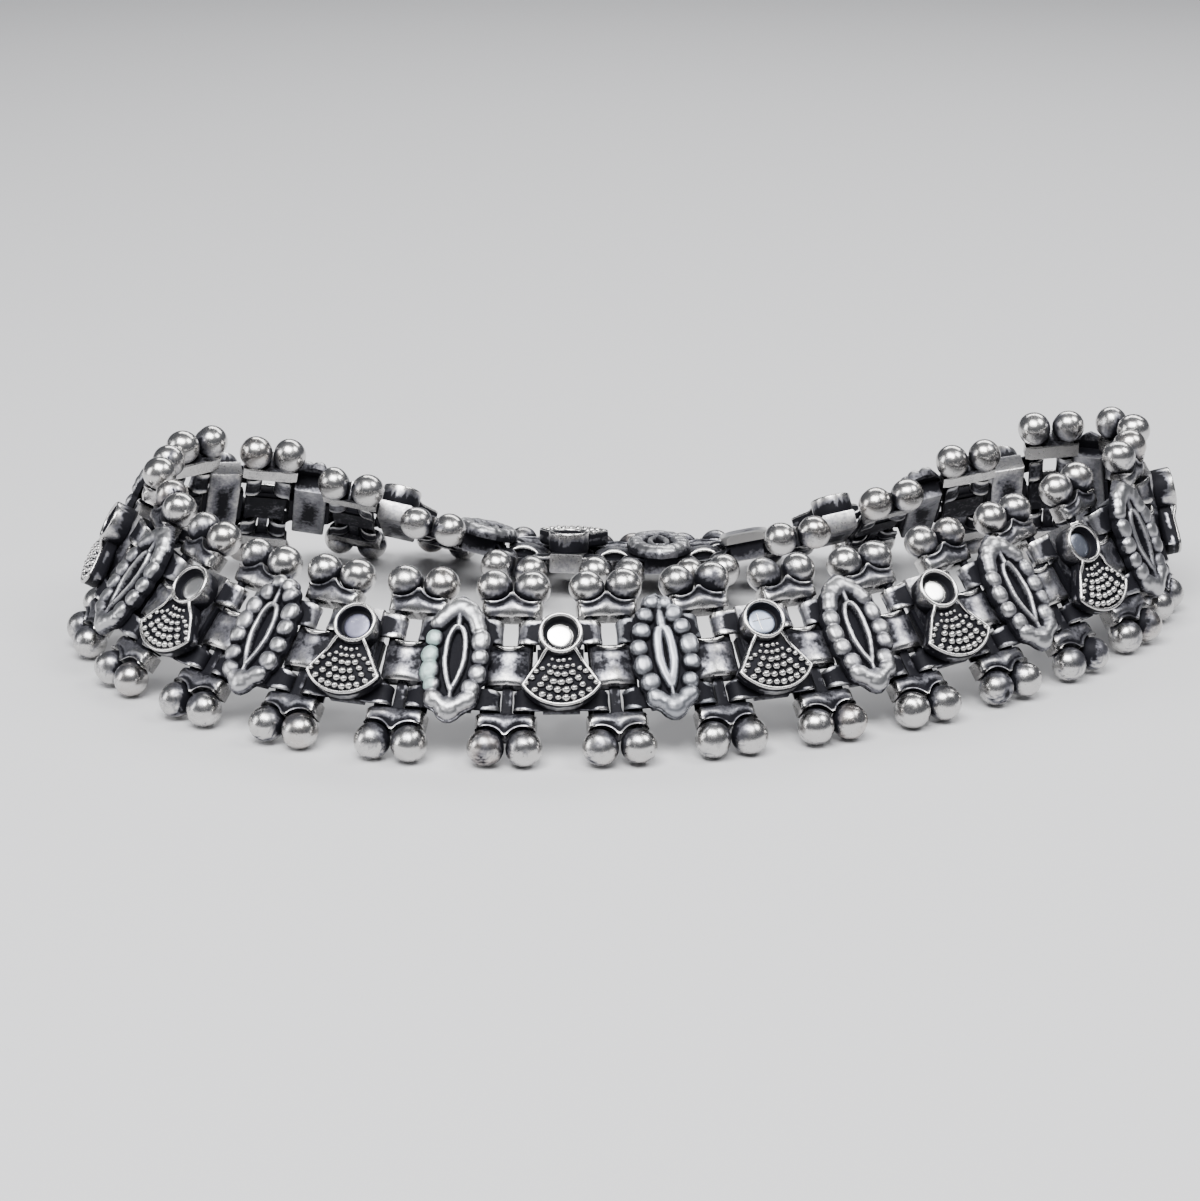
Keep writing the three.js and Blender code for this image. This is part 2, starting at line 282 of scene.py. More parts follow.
def ball(radii: tuple[float, float, float], rows: int, cols: int) -> Shell:
    """An ellipsoid: circles of latitude scaled by each axis, with one vertex at each pole.

    Args:
        radii: half of its size along x, y and z.
        rows: circles of latitude between the poles.
        cols: points on each circle.

    Returns:
        The closed shell, centred on the origin, with its poles along z.
    """
    down = np.linspace(0.0, math.pi, rows + 2)[1:-1, None]
    turn = np.linspace(0.0, 2.0 * math.pi, cols, endpoint=False)[None, :]
    rings = grid_points(np.sin(down) * np.cos(turn), np.sin(down) * np.sin(turn), np.cos(down))
    poles = np.array([[0.0, 0.0, 1.0], [0.0, 0.0, -1.0]])
    return capped(rings * np.array(radii), poles * np.array(radii))


def turned(profile: Array, cols: int, wobble: float, rng: np.random.Generator) -> Shell:
    """A turned form: each profile point (radius, height) carried round the z axis.

    Args:
        profile: radius and height of each ring; the ends close on the axis.
        cols: points round the axis.
        wobble: how far the circle is out of round, as a share of the radius.
        rng: source of the phase of that unevenness.

    Returns:
        The closed shell.
    """
    turn = np.linspace(0.0, 2.0 * math.pi, cols, endpoint=False)[None, :]
    phase = rng.uniform(0.0, 2.0 * math.pi, 2)
    uneven = 1.0 + wobble * (np.sin(2 * turn + phase[0]) + 0.6 * np.sin(3 * turn + phase[1]))
    radius, height = profile[:, 0][:, None], profile[:, 1][:, None]
    return lofted(grid_points(radius * uneven * np.cos(turn), radius * uneven * np.sin(turn), height))


def slab(outline: Array, levels: Iterable[Span]) -> Shell:
    """A plate on a closed outline: at each level the outline moves inward by the inset there.

    Args:
        outline: points in the plane, in order.
        levels: height and inset of each ring, from the back to the front.

    Returns:
        The closed shell, its two ends closed by fans.
    """
    run = unit(np.roll(outline, -1, axis=0) - np.roll(outline, 1, axis=0))
    inward = np.stack([-run[:, 1], run[:, 0]], axis=1)
    if np.einsum("ij,ij->", inward, outline - outline.mean(axis=0)) > 0.0:
        inward = -inward
    rings = [np.column_stack([outline + inset * inward, np.full(len(outline), z)]) for z, inset in levels]
    return lofted(np.stack(rings))


def plate(top: Array, floor: float) -> Shell:
    """A solid under a grid of top points: its border drops to the floor and the floor is closed.

    Args:
        top: points by row, by column, by coordinate.
        floor: the height of the flat underside.

    Returns:
        The closed shell.
    """
    rows, cols, _ = top.shape
    numbers = np.arange(rows * cols).reshape(rows, cols)
    loop = np.concatenate([numbers[0, :-1], numbers[:-1, -1], numbers[-1, :0:-1], numbers[:0:-1, 0]])
    under = rows * cols + np.arange(len(loop))
    flat = top.reshape(-1, 3)
    low = flat[loop].copy()
    low[:, 2] = floor
    walls = np.stack([loop, under, np.roll(under, -1), np.roll(loop, -1)], axis=1)
    below = np.full(rows * cols, -1)
    below[loop] = under
    below = below.reshape(rows, cols)
    left, right = below[1:-1, 0], below[1:-1, -1]
    base = np.stack([left[:-1], left[1:], right[1:], right[:-1]], axis=1)
    near = np.stack([np.full(cols - 1, left[0]), below[0, 1:], below[0, :-1]], axis=1)
    far = np.stack([np.full(cols - 1, left[-1]), below[-1, :-1], below[-1, 1:]], axis=1)
    ends = np.array([[left[0], right[0], below[0, -1]], [left[-1], below[-1, -1], right[-1]]])
    quads = np.concatenate([lattice(rows, cols, False), walls, base])
    return Shell(np.concatenate([flat, low]), quads, np.concatenate([near, far, ends])).outward()


# ---- the loop --------------------------------------------------------------------------------

@dataclass(frozen=True)
class Stretch:
    """A stretch of the band: its length in pitches, the degrees it turns and its lean at the end."""

    name: str
    pitches: float
    turn: float
    lean: float


@dataclass
class Loop:
    """The band's middle line in plan, with the heading and inward lean at every station."""

    front_station: float = 13.5
    front_heading: float = 2.5
    steps: int = 40
    stretches: tuple[Stretch, ...] = (
        Stretch("rear, left half", 2, -16, 80),
        Stretch("rear, rising", 2, 4, 50),
        Stretch("left corner, rear", 1.5, 20, 26),
        Stretch("left corner", 1, 57, 22),
        Stretch("left side", 1, 25, 31),
        Stretch("left shoulder", 1, 26, 40),
        Stretch("front, far left", 1.5, 22, 46),
        Stretch("front, left", 2, 24, 46),
        Stretch("front, middle", 3, 30, 46),
        Stretch("front, right", 2, 12, 48),
        Stretch("front, far right", 2, 12, 40),
        Stretch("right shoulder", 1, 6, 31),
        Stretch("right side", 1, 14, 17),
        Stretch("right corner, front", 1, 60, 9),
        Stretch("right corner, rear", 1, 62, 20),
        Stretch("rear, falling", 2, 10, 54),
        Stretch("rear, right half", 2, -17, 80),
    )
    origin: Array = field(default_factory=lambda: np.zeros(3))

    def bearing(self, station: Array) -> tuple[Array, Array]:
        """Heading and lean by straight interpolation between the ends of the stretches.

        Args:
            station: places along the band, in pitches from the rear's middle.

        Returns:
            The headings and the leans, in radians.
        """
        ends = np.cumsum([0.0] + [s.pitches for s in self.stretches])
        headings = np.cumsum([0.0] + [s.turn for s in self.stretches])
        leans = np.array([self.stretches[-1].lean] + [s.lean for s in self.stretches])
        station = np.mod(station, PLAQUES)
        heading = np.interp(station, ends, headings) + self.front_heading
        return (np.radians(heading - np.interp(self.front_station, ends, headings)),
                np.radians(np.interp(station, ends, leans)))

    def plan(self) -> Array:
        """Sums equal steps along the heading, and shares the closing error out evenly.

        Returns:
            Points of the middle line in plan, from the middle of the rear right round to it.
        """
        count = PLAQUES * self.steps
        heading, _ = self.bearing((np.arange(count) + 0.5) / self.steps)
        moves = np.stack([np.cos(heading), np.sin(heading)], axis=1) * (PITCH / self.steps)
        points = np.concatenate([np.zeros((1, 2)), np.cumsum(moves, axis=0)])
        return points - points[-1] * (np.arange(count + 1) / count)[:, None]

    def middle(self, station: float) -> Array:
        """A point of the middle line: its place in plan, at the height that its lean gives it.

        Args:
            station: its place along the band, in pitches from the rear's middle.

        Returns:
            The point, in millimetres.
        """
        wrapped = station % PLAQUES
        points = self.plan()
        places = np.arange(len(points)) / self.steps
        _, lean = self.bearing(np.array(wrapped))
        height = BEAD_R + BEAD_SPAN / 2 * math.cos(float(lean))
        return np.array([np.interp(wrapped, places, points[:, k]) for k in range(2)] + [height])

    def piece_frame(self, station: float, span: float) -> Array:
        """The frame of a piece whose pins cross the middle line half a span either side.

        Args:
            station: the piece's place along the band.
            span: the distance between its two pins.

        Returns:
            A 4 by 4 matrix with the columns across, up, out and place.
        """
        start, end = (self.middle(station + side * span / (2 * PITCH)) for side in (-1, 1))
        across = (end - start) / np.linalg.norm(end - start)
        heading, lean = (float(v) for v in self.bearing(np.array(station)))
        inward = np.array([-math.sin(heading), math.cos(heading), 0.0])
        up = math.sin(lean) * inward + np.array([0.0, 0.0, math.cos(lean)])
        up -= across * (up @ across)
        up /= np.linalg.norm(up)
        matrix = np.eye(4)
        matrix[:3] = np.stack([across, up, np.cross(across, up), (start + end) / 2], axis=1)
        return matrix

    def link_frame(self, number: int) -> Array:
        """A link's frame, at the height where its lowest ball touches the floor.

        Args:
            number: the link's number; link 0 lies to the right of the front plaque.

        Returns:
            A 4 by 4 matrix.
        """
        matrix = self.piece_frame(self.front_station + number + 0.5, PIN_SPAN)
        matrix[2, 3] = BEAD_R + BEAD_SPAN / 2 * matrix[2, 1] + PIN_SPAN / 2 * abs(matrix[2, 0])
        matrix[:3, 3] += self.origin
        return matrix

    def plaque_frame(self, number: int) -> Array:
        """A plaque's frame, at the mean height of the two pins beside it.

        Args:
            number: the plaque's number; plaque 0 is the front one.

        Returns:
            A 4 by 4 matrix.
        """
        matrix = self.piece_frame(self.front_station + number, PITCH - PIN_SPAN)
        pins = [self.link_frame((number + k) % PLAQUES) @ np.array([-s * PIN_SPAN / 2, 0.0, 0.0, 1.0])
                for k, s in ((-1, -1), (0, 1))]
        matrix[:3, 3] += self.origin
        matrix[2, 3] = (pins[0][2] + pins[1][2]) / 2
        return matrix

    def settle(self) -> None:
        """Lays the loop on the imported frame: its links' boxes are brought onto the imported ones."""
        corners = np.array([[x, y, 0.0, 1.0] for x in (-PIN_SPAN / 2, PIN_SPAN / 2)
                            for y in (-BEAD_SPAN / 2, BEAD_SPAN / 2)]).T
        gaps = []
        for number in range(PLAQUES):
            centres = (self.link_frame(number) @ corners)[:3]
            low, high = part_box(f"link_{number:02d}")
            target = (np.array(low) + np.array(high)) / 2 / MM
            gaps.append(target - (centres.min(axis=1) + centres.max(axis=1)) / 2)
        self.origin = self.origin + np.mean(gaps, axis=0) * np.array([1.0, 1.0, 0.0])
        log.info("loop laid on the frame, moved by %s mm", np.round(self.origin, 3))


# ---- the link --------------------------------------------------------------------------------

@dataclass
class Link:
    """Two pins with a ball on each end, two cradle plates, and the barrel that joins the pins."""

    ball_r: float = 1.335
    ball_spread: float = 0.035  # how much smaller the smallest ball is
    ball_rows: int = 24
    ball_cols: int = 36
    skin: float = 0.012  # unevenness of a ball's skin
    dents: tuple[int, int] = (2, 5)  # from the first number up to, not with, the second
    dent_reach: Span = (0.25, 0.6)
    dent_depth: Span = (0.015, 0.06)
    ball_tints: tuple[float, ...] = (-0.8, -0.4, 0.0, 0.0, 0.2)
    pin_r: float = 0.32
    pin_end: float = 5.3
    cradle_inner: float = 3.72
    cradle_half: float = 2.14
    cradle_reach: float = 5.5
    cradle_back: float = -0.8
    cradle_face: float = 0.36
    cradle_swell: float = 0.34
    cradle_fin: float = 0.42
    seat_gap: float = 0.07  # between a ball and the plate's scallop
    barrel_low: float = -1.68
    barrel_high: float = 0.98
    barrel_half: float = 1.62
    barrel_back: float = -0.42
    barrel_edge: float = 0.28
    barrel_crown: float = 0.9
    lip_y: float = 1.34
    lip_z: float = 0.6
    lip_half: float = 1.08
    lip_r: float = 0.16
    lip_sag: float = 0.34
    lip_arch: float = 0.3  # how much higher its middle is than its ends
    bridge_half: float = 1.3
    bridge_y: Span = (0.9, 1.5)
    bridge_levels: tuple[Span, ...] = ((-0.3, 0.08), (-0.2, 0.0), (0.3, 0.0), (0.38, 0.03))
    post_low: float = -3.9
    post_length: float = 2.4
    post_half: float = 0.37
    post_flare: float = 0.18
    post_face: float = 0.2
    post_back: float = -0.4
    face_bias: float = -0.12  # wear of the flat plates, less than their height alone gives

    def balls(self, rng: np.random.Generator) -> list[Shell]:
        """Four cast balls: spheres with a few shallow dents and a slightly uneven skin.

        Args:
            rng: source of their sizes and dents.

        Returns:
            One shell per ball.
        """
        shells = []
        for sx in (-1, 1):
            for sy in (-1, 1):
                radius = self.ball_r * (1.0 - self.ball_spread * rng.random() ** 2)
                shell = ball((1.0, 1.0, 1.0), self.ball_rows, self.ball_cols)
                facing = shell.points
                swell = 1.0 + self.skin * ripple(facing, 1.4, rng)
                for _ in range(rng.integers(*self.dents)):
                    spot = rng.normal(size=3) * [1.0, 1.0, 0.6] + [0.0, 0.0, 0.5]
                    spot /= np.linalg.norm(spot)
                    reach = rng.uniform(*self.dent_reach)
                    away = (1.0 - facing @ spot) / reach ** 2
                    swell -= rng.uniform(*self.dent_depth) * np.exp(-away * 2.0)
                flat = rng.uniform(0.975, 1.0, 3)
                place = [sx * (PIN_SPAN / 2 + rng.uniform(-0.02, 0.02)),
                         sy * (BEAD_SPAN / 2 - (self.ball_r - radius) * 0.6), rng.uniform(-0.05, 0.05)]
                shell.points = facing * swell[:, None] * radius * flat + place
                shell.tint = rng.choice(self.ball_tints)
                shell.bias = rng.uniform(-0.06, 0.06)
                shells.append(shell)
        return shells

    def pins(self) -> list[Shell]:
        """The two straight wires that run from the lower balls to the upper ones.

        Returns:
            One shell per wire.
        """
        y = np.linspace(-self.pin_end, self.pin_end, 5)
        return [rod(np.column_stack([np.full(5, s * PIN_SPAN / 2), y, np.zeros(5)]), self.pin_r, 14)
                for s in (-1, 1)]

    def cradle(self, side: int, rng: np.random.Generator) -> Shell:
        """The end plate: straight inside, scalloped where it holds the balls, with raised fins.

        The outer edge is a circle round each ball. The face swells as a sine between its two
        edges, and climbs again over the last fifth to make the fin.

        Args:
            side: 1 for the upper plate, -1 for the lower.
            rng: source of its unevenness.

        Returns:
            The closed shell.
        """
        across, along = np.meshgrid(np.linspace(-1, 1, 45), np.linspace(0, 1, 17))
        x = across * self.cradle_half
        seat = self.ball_r + self.seat_gap
        off = np.abs(np.abs(x) - PIN_SPAN / 2)
        scallop = BEAD_SPAN / 2 - np.sqrt(np.clip(seat ** 2 - off ** 2, 0, None))
        outer = np.minimum(scallop, self.cradle_reach)
        inner = self.cradle_inner + 0.14 * smooth_step(0.75, 1.0, np.abs(across))
        y = inner + along * (outer - inner)
        swell = np.sin(math.pi * along) ** 0.8 * np.sqrt(np.clip(1.03 - across ** 2, 0, None))
        fin = smooth_step(0.78, 1.0, along) * (1.0 - 0.3 * across ** 2)
        z = self.cradle_face + self.cradle_swell * swell + self.cradle_fin * fin
        z += 0.03 * grid_ripple(x, y, 1.2, rng)
        z -= 0.25 * smooth_step(0.9, 1.0, np.abs(across))
        shell = plate(grid_points(x, side * y, z), self.cradle_back)
        shell.bias = self.face_bias
        return shell

    def barrel(self, rng: np.random.Generator) -> Shell:
        """The barrel: a circle's arc across the pins, let down a little at its two ends.

        Args:
            rng: source of its unevenness.

        Returns:
            The closed shell, brightest along its crown: partly wear, partly a painted highlight, with painted
            shade on its flanks.
        """
        across, along = np.meshgrid(np.linspace(-1, 1, 29), np.linspace(-1, 1, 19))
        x = across * self.barrel_half
        y = (self.barrel_low + self.barrel_high) / 2 + along * (self.barrel_high - self.barrel_low) / 2
        arc = np.sqrt(np.clip(1.0 - 0.98 * across ** 2, 0, None))
        rise = self.barrel_crown - self.barrel_edge
        z = self.barrel_edge + rise * arc * (1.0 - 0.3 * np.abs(along) ** 10)
        z -= 0.05 * bell(along, 0.1, 0.3)
        z += 0.02 * grid_ripple(x, y, 1.0, rng)
        shell = plate(grid_points(x, y, z), self.barrel_back)
        # Painted highlight down the crown and painted shade on the flanks, added to the crown's wear.
        flank = -0.26 + 0.3 * bell(across.ravel(), 0.0, 0.36)
        shell.bias = np.concatenate([flank, np.full(len(shell.points) - len(flank), -0.3)])
        return shell

    def lip(self) -> list[Shell]:
        """The crescent lip over the barrel, on a low bridge: a wire that sags as a parabola.

        Returns:
            The wire and the bridge.
        """
        share = np.linspace(-1, 1, 17)
        sag = 1.0 - share ** 2
        path = np.column_stack([
            share * self.lip_half, self.lip_y - self.lip_sag * sag, self.lip_z + self.lip_arch * sag])
        wire = rod(path, self.lip_r * np.sqrt(np.clip(1.02 - share ** 2, 0.02, 1)) + 0.02, 10)
        # The wire's brightness is partly wear on a raised edge, partly a painted highlight on the crescent.
        wire.bias = 0.5
        bridge = slab(rectangle(self.bridge_half, *self.bridge_y), self.bridge_levels)
        # The bridge is darkened: partly oxide, partly painted shade of the groove under the lip.
        bridge.bias = -0.5
        return [wire, bridge]

    def post(self) -> Shell:
        """The flat post under the barrel, flared where it meets the lower end plate.

        Returns:
            The closed shell.
        """
        across, along = np.meshgrid(np.linspace(-1, 1, 11), np.linspace(0, 1, 25))
        x = across * (self.post_half + self.post_flare * (1.0 - smooth_step(0.0, 0.22, along)))
        z = self.post_face - 0.05 * across ** 6 - 0.04 * np.sin(math.pi * along)
        shell = plate(grid_points(x, self.post_low + self.post_length * along, z), self.post_back)
        shell.bias = self.face_bias
        return shell

    def shells(self, rng: np.random.Generator) -> list[Shell]:
        """All of the link's surfaces, with their own small differences."""
        return [*self.balls(rng), *self.pins(), self.cradle(1, rng), self.cradle(-1, rng),
                self.barrel(rng), self.post(), *self.lip()]


# ---- the plaques -----------------------------------------------------------------------------

@dataclass
class Straps:
    """The four folded straps of a plaque, each wrapped round a neighbouring link's pin."""

    pin_x: float = HALF_PITCH - PIN_SPAN / 2
    fold_r: float = 0.62
    fold_reach: float = 0.8
    thickness: float = 0.24
    root_x: float = 0.9
    lip: float = 0.5
    spans: tuple[Span, ...] = ((1.45, 3.4), (-3.65, -2.0))
    # The section: places across the strap and, in half thicknesses, the height at each.
    across: tuple[float, ...] = (-1.0, -0.97, -0.85, -0.5, 0.0, 0.5, 0.85, 0.97, 1.0)
    crown: tuple[float, ...] = (0.2, 0.8, 1.15, 0.85, 0.7, 0.85, 1.15, 0.8, 0.2)
    follow: Span = (1.35, 2.05)  # between these x a point goes over from the plaque to the pin
    # The rims and the fold's bend are partly worn bright and partly given a painted highlight, where a fold's
    # crests catch the light; the flat face is kept darker.
    rim_wear_and_sheen: float = 0.34
    face_bias: float = -0.36
    bend_wear_and_sheen: float = 0.12

    def path(self, squash: float) -> Array:
        """The sheet's middle in x and z: straight out, half an ellipse round the pin, and back.

        Args:
            squash: how much the fold is flattened towards the pin, as a share of its radius.

        Returns:
            Points (x, z) along the fold, for the right-hand side.
        """
        turn = np.linspace(math.pi / 2, -math.pi / 2, 13)
        out = np.linspace(self.root_x, self.pin_x - 0.08, 5)
        arc_x = self.pin_x + self.fold_reach * np.cos(turn) * (1.0 - squash)
        arc_z = self.fold_r * np.sin(turn)
        back = np.linspace(self.pin_x - 0.12, self.pin_x - self.lip, 3)
        return np.column_stack([np.concatenate([out, arc_x, back]), np.concatenate([
            np.full(len(out), self.fold_r), arc_z, np.full(len(back), -self.fold_r)])])

    def strap(self, side: int, span: Span, rng: np.random.Generator) -> Shell:
        """A rounded oblong section carried along the fold, with its long edges turned up a little.

        Args:
            side: 1 for the right-hand pin, -1 for the left-hand one.
            span: the strap's lower and upper edge.
            rng: source of its squash and skew.

        Returns:
            The closed shell, whose fold follows the pin and whose root follows the plaque.
        """
        path = self.path(rng.uniform(0.0, 0.1))
        run = unit(np.gradient(path, axis=0))
        outward = np.column_stack([-run[:, 1], run[:, 0]])
        crown = self.thickness / 2 * np.array(self.crown)
        level = np.concatenate([crown, -0.9 * crown[::-1]])
        place = np.concatenate([self.across, self.across[::-1]])
        low, high = span
        skew = rng.uniform(-0.05, 0.05)
        share = np.linspace(0.0, 1.0, len(path))[:, None]
        flare = 1.0 - 0.1 * bell(share, 0.5, 0.16)
        x = path[:, :1] + outward[:, :1] * level[None]
        y = (low + high) / 2 + (high - low) / 2 * place[None] * flare + skew * share
        z = path[:, 1:] + outward[:, 1:] * level[None]
        shell = lofted(grid_points(side * x, y, z))
        shell.pull = side * smooth_step(*self.follow, np.abs(shell.points[:, 0]))
        on_rim = (np.abs(place) > 0.8) & (np.abs(place) < 0.99) & (level > 0)
        # Rims and bend: edge wear with a painted highlight on top; the flat face between them is darker.
        worn = np.where(on_rim, self.rim_wear_and_sheen, self.face_bias)[None] + self.bend_wear_and_sheen * bell(share, 0.3, 0.1)
        shell.bias = np.concatenate([worn.ravel(), [-0.3, -0.3]]) + rng.uniform(-0.1, 0.06)
        return shell.outward()

    def shells(self, rng: np.random.Generator) -> list[Shell]:
        """All four straps."""
        return [self.strap(side, span, rng) for side in (-1, 1) for span in self.spans]


@dataclass
class Backing:
    """The backing plate that a face is soldered to, its wider web, and its four straps."""

    core_half: float = 1.3
    core_reach: float = 3.45
    core_levels: tuple[Span, ...] = ((-0.55, 0.12), (-0.45, 0.0), (0.85, 0.0), (0.97, 0.1))
    web_half: float = 1.64
    web_low: float = -1.75
    web_high: float = 1.25
    web_levels: tuple[Span, ...] = ((-0.36, 0.05), (-0.3, 0.0), (0.3, 0.0), (0.38, 0.04))
    core_bias: float = -0.25
    web_bias: float = -0.45
    straps: Straps = field(default_factory=Straps)

    def shells(self, rng: np.random.Generator) -> list[Shell]:
        """The core, the web and the straps.

        Args:
            rng: source of the straps' small differences.

        Returns:
            The closed shells.
        """
        core = slab(rectangle(self.core_half, -self.core_reach, self.core_reach), self.core_levels)
        core.bias = self.core_bias
        web = slab(rectangle(self.web_half, self.web_low, self.web_high), self.web_levels)
        web.bias = self.web_bias
        return [core, web, *self.straps.shells(rng)]


@dataclass
class Marquise:
    """The almond plaque: a lobed sheet with a border of cast blobs round a small raised almond."""

    half_width: float = 2.45
    half_length: float = 4.9
    sheet: float = 1.18
    sunk: float = 1.24
    blob_top: float = 0.7
    blob_inset: float = 0.65  # from the almond's edge to a blob's middle
    plain_blobs: tuple[float, ...] = (1.3, 0.05, -1.17, -2.33)  # their heights along a side
    beaded_blobs: tuple[float, ...] = (3.15, 1.95, 0.65, -0.7, -2.05)
    blob_margin: float = 0.05  # of sheet round a blob
    ridge_margin: float = 0.08
    foot: tuple[Place, ...] = ((-1.3, -3.05), (-0.62, -3.6), (0.0, -3.92), (0.62, -3.6), (1.3, -3.05))
    eye_half_width: float = 0.68
    eye_half_length: float = 2.5
    eye_y: float = -0.15
    eye_wire: float = 0.25
    eye_height: float = 0.6
    eye_depth: float = 0.3
    stem_ends: Span = (3.7, -3.4)
    stem_height: float = 0.58
    stem_r: float = 0.24
    beaded_top: bool = False
    rows: int = 150
    cols: int = 76

    def border_x(self, y: Array) -> Array:
        """Half-width of the almond at each height: one arc of the circle through its tips."""
        radius = (self.half_width ** 2 + self.half_length ** 2) / (2 * self.half_width)
        return np.sqrt(np.clip(radius ** 2 - y ** 2, 0, None)) - (radius - self.half_width)

    def blobs(self, rng: np.random.Generator) -> Array:
        """The border's blobs, a row for each: x, y, half-width, half-length and squareness.

        Four or five stand along each side, some run together, and a large one with two wings
        closes the lower tip.

        Args:
            rng: source of their small differences.

        Returns:
            An array of five columns.
        """
        table = []
        heights = self.beaded_blobs if self.beaded_top else self.plain_blobs
        for side in (-1, 1):
            joined = rng.integers(0, 4)
            for k, y in enumerate(heights):
                y += rng.uniform(-0.1, 0.1)
                size = rng.uniform(0.64, 0.76)
                x = side * (float(self.border_x(np.array(y))) - self.blob_inset + rng.uniform(-0.05, 0.05))
                stretch = 1.3 if k == joined else rng.uniform(1.02, 1.18)
                table.append([x, y, size, size * stretch, 2.2])
        table.append([rng.uniform(-0.08, 0.08), -3.86, 1.0, 0.96, 1.8])
        table += [[side * 1.1, -3.24 + rng.uniform(-0.1, 0.1), 0.78, 0.66, 2.0] for side in (-1, 1)]
        if self.beaded_top:
            table += [[-0.42, 4.05, 0.66, 0.66, 2.0], [0.5, 3.9, 0.62, 0.62, 2.0]]
        return np.array(table)

    def ridges(self, rng: np.random.Generator) -> list[Ridge]:
        """The thick ridges: a chevron at the foot and, unless it is beaded, a hood over the top.

        Args:
            rng: source of their small differences.

        Returns:
            Their segments.
        """
        chevron = list(zip(self.foot, self.foot[1:], rng.uniform(0.58, 0.66, 4)))
        if self.beaded_top:
            return chevron
        lean = rng.uniform(-0.1, 0.1)
        left, right = rng.permutation([2.55, 2.2])
        knees = [(-1.42, left), (-1.12, 3.0), (-0.6, 3.55), (lean, 3.86),
                 (0.6, 3.55), (1.12, 3.0), (1.42, right)]
        sizes = np.array([0.66, 0.72, 0.82, 0.82, 0.72, 0.66]) + rng.uniform(-0.04, 0.04, 6)
        return chevron + list(zip(knees, knees[1:], sizes))

    def sheet_reach(self, side: int, y: Array, blobs: Array, ridges: list[Ridge]) -> Array:
        """How far the sheet reaches to one side: to the almond's edge, or round what lies past it.

        Args:
            side: 1 for the right-hand side, -1 for the left.
            y: the heights asked about, evenly spaced.
            blobs: the border's blobs.
            ridges: the thick ridges' segments.

        Returns:
            The half-widths, smoothed along the edge.
        """
        reach = np.clip(self.border_x(y) - 0.08, 0.03, None)
        for x0, y0, rx, ry, square in blobs:
            if side * x0 > -0.1:
                inside = np.clip(1.0 - np.abs((y - y0) / (ry + 0.06)) ** square, 0, None)
                edge = side * x0 + (rx + self.blob_margin) * inside ** (1.0 / square)
                reach = np.maximum(reach, np.where(inside > 0, edge, 0.0))
        for (ax, ay), (bx, by), r in ridges:
            share = (y - ay) / (by - ay)
            held = np.clip(share, 0, 1)
            inside = np.clip(1.0 - ((share - held) * (by - ay) / (r + 0.06)) ** 2, 0, None)
            edge = side * (ax + held * (bx - ax)) + (r + self.ridge_margin) * np.sqrt(inside)
            reach = np.maximum(reach, np.where(inside > 0, edge, 0))
        reach = np.convolve(np.pad(reach, 2, mode="edge"), [0.1, 0.2, 0.4, 0.2, 0.1], mode="valid")
        return np.minimum(reach, self.half_width + 0.04)

    def face(self, rng: np.random.Generator) -> Shell:
        """The cast face: one relief on a sheet that reaches from edge to edge, dark in its field.

        Args:
            rng: source of the casting's small differences.

        Returns:
            The closed shell.
        """
        blobs, ridges = self.blobs(rng), self.ridges(rng)
        y = np.linspace(-4.86, 4.86, self.rows)
        left, right = (self.sheet_reach(side, y, blobs, ridges)[:, None] for side in (-1, 1))
        share = np.linspace(0.0, 1.0, self.cols)[None, :]
        x = -left * (1.0 - share) + right * share
        y = np.broadcast_to(y[:, None], x.shape)
        z = self.relief(x, y, blobs, ridges)
        within = smooth_step(0.1, 0.4, self.border_x(y) - np.abs(x))
        dark = -(0.55 + 0.2 * within) * (1.0 - smooth_step(self.sunk + 0.06, self.sunk + 0.3, z))
        z = z + (0.018 * grid_ripple(x, y, 0.9, rng) + 0.01 * grid_ripple(x, y, 0.35, rng))
        shell = plate(grid_points(x, y, z), FACE_BACK)
        shell.bias = np.concatenate([dark.ravel() + 0.04, np.full(len(shell.points) - dark.size, -0.55)])
        return shell

    def relief(self, x: Array, y: Array, blobs: Array, ridges: list[Ridge]) -> Array:
        """Height of the casting over each point of its face: blobs, ridges, ring and stems blended.

        A blob is a dome over the distance from its middle, as a share of its size, and a wire
        is one over the distance from its line.

        Args:
            x: places along the band.
            y: places across it.
            blobs: the border's blobs.
            ridges: the thick ridges' segments.

        Returns:
            The heights.
        """
        z = np.where(np.abs(x) < self.border_x(y) - 0.55, self.sunk, self.sheet)
        low = self.sheet - 0.03
        for x0, y0, rx, ry, square in blobs:
            away = np.abs((x - x0) / rx) ** square + np.abs((y - y0) / ry) ** square
            z = soft_max(low + self.blob_top * dome(away, 1.5), z, 0.07 if square > 2.1 else 0.15)
        for start, end, r in ridges:
            ridge = dome(segment_distance(x, y, start, end) / r, 2.2)
            z = soft_max(low + self.blob_top * ridge, z, 0.1)
        ring = self.ring_distance(x, y - self.eye_y)
        z = np.where(ring < -0.1, self.sunk - self.eye_depth * smooth_step(0.1, 0.24, -ring), z)
        z = soft_max(low + self.eye_height * dome(np.abs(ring / self.eye_wire), 3.0), z, 0.04)
        top, tip = self.eye_y + self.eye_half_length * np.array([1.0, -1.0])
        stems = (((0.0, top - 0.1), (0.0, self.stem_ends[0]), self.eye_wire + 0.04),
                 ((0.0, tip), (0.0, self.stem_ends[1]), self.stem_r))
        for start, end, r in stems:
            z = soft_max(low + self.stem_height * dome(segment_distance(x, y, start, end) / r, 2.0), z, 0.04)
        return z

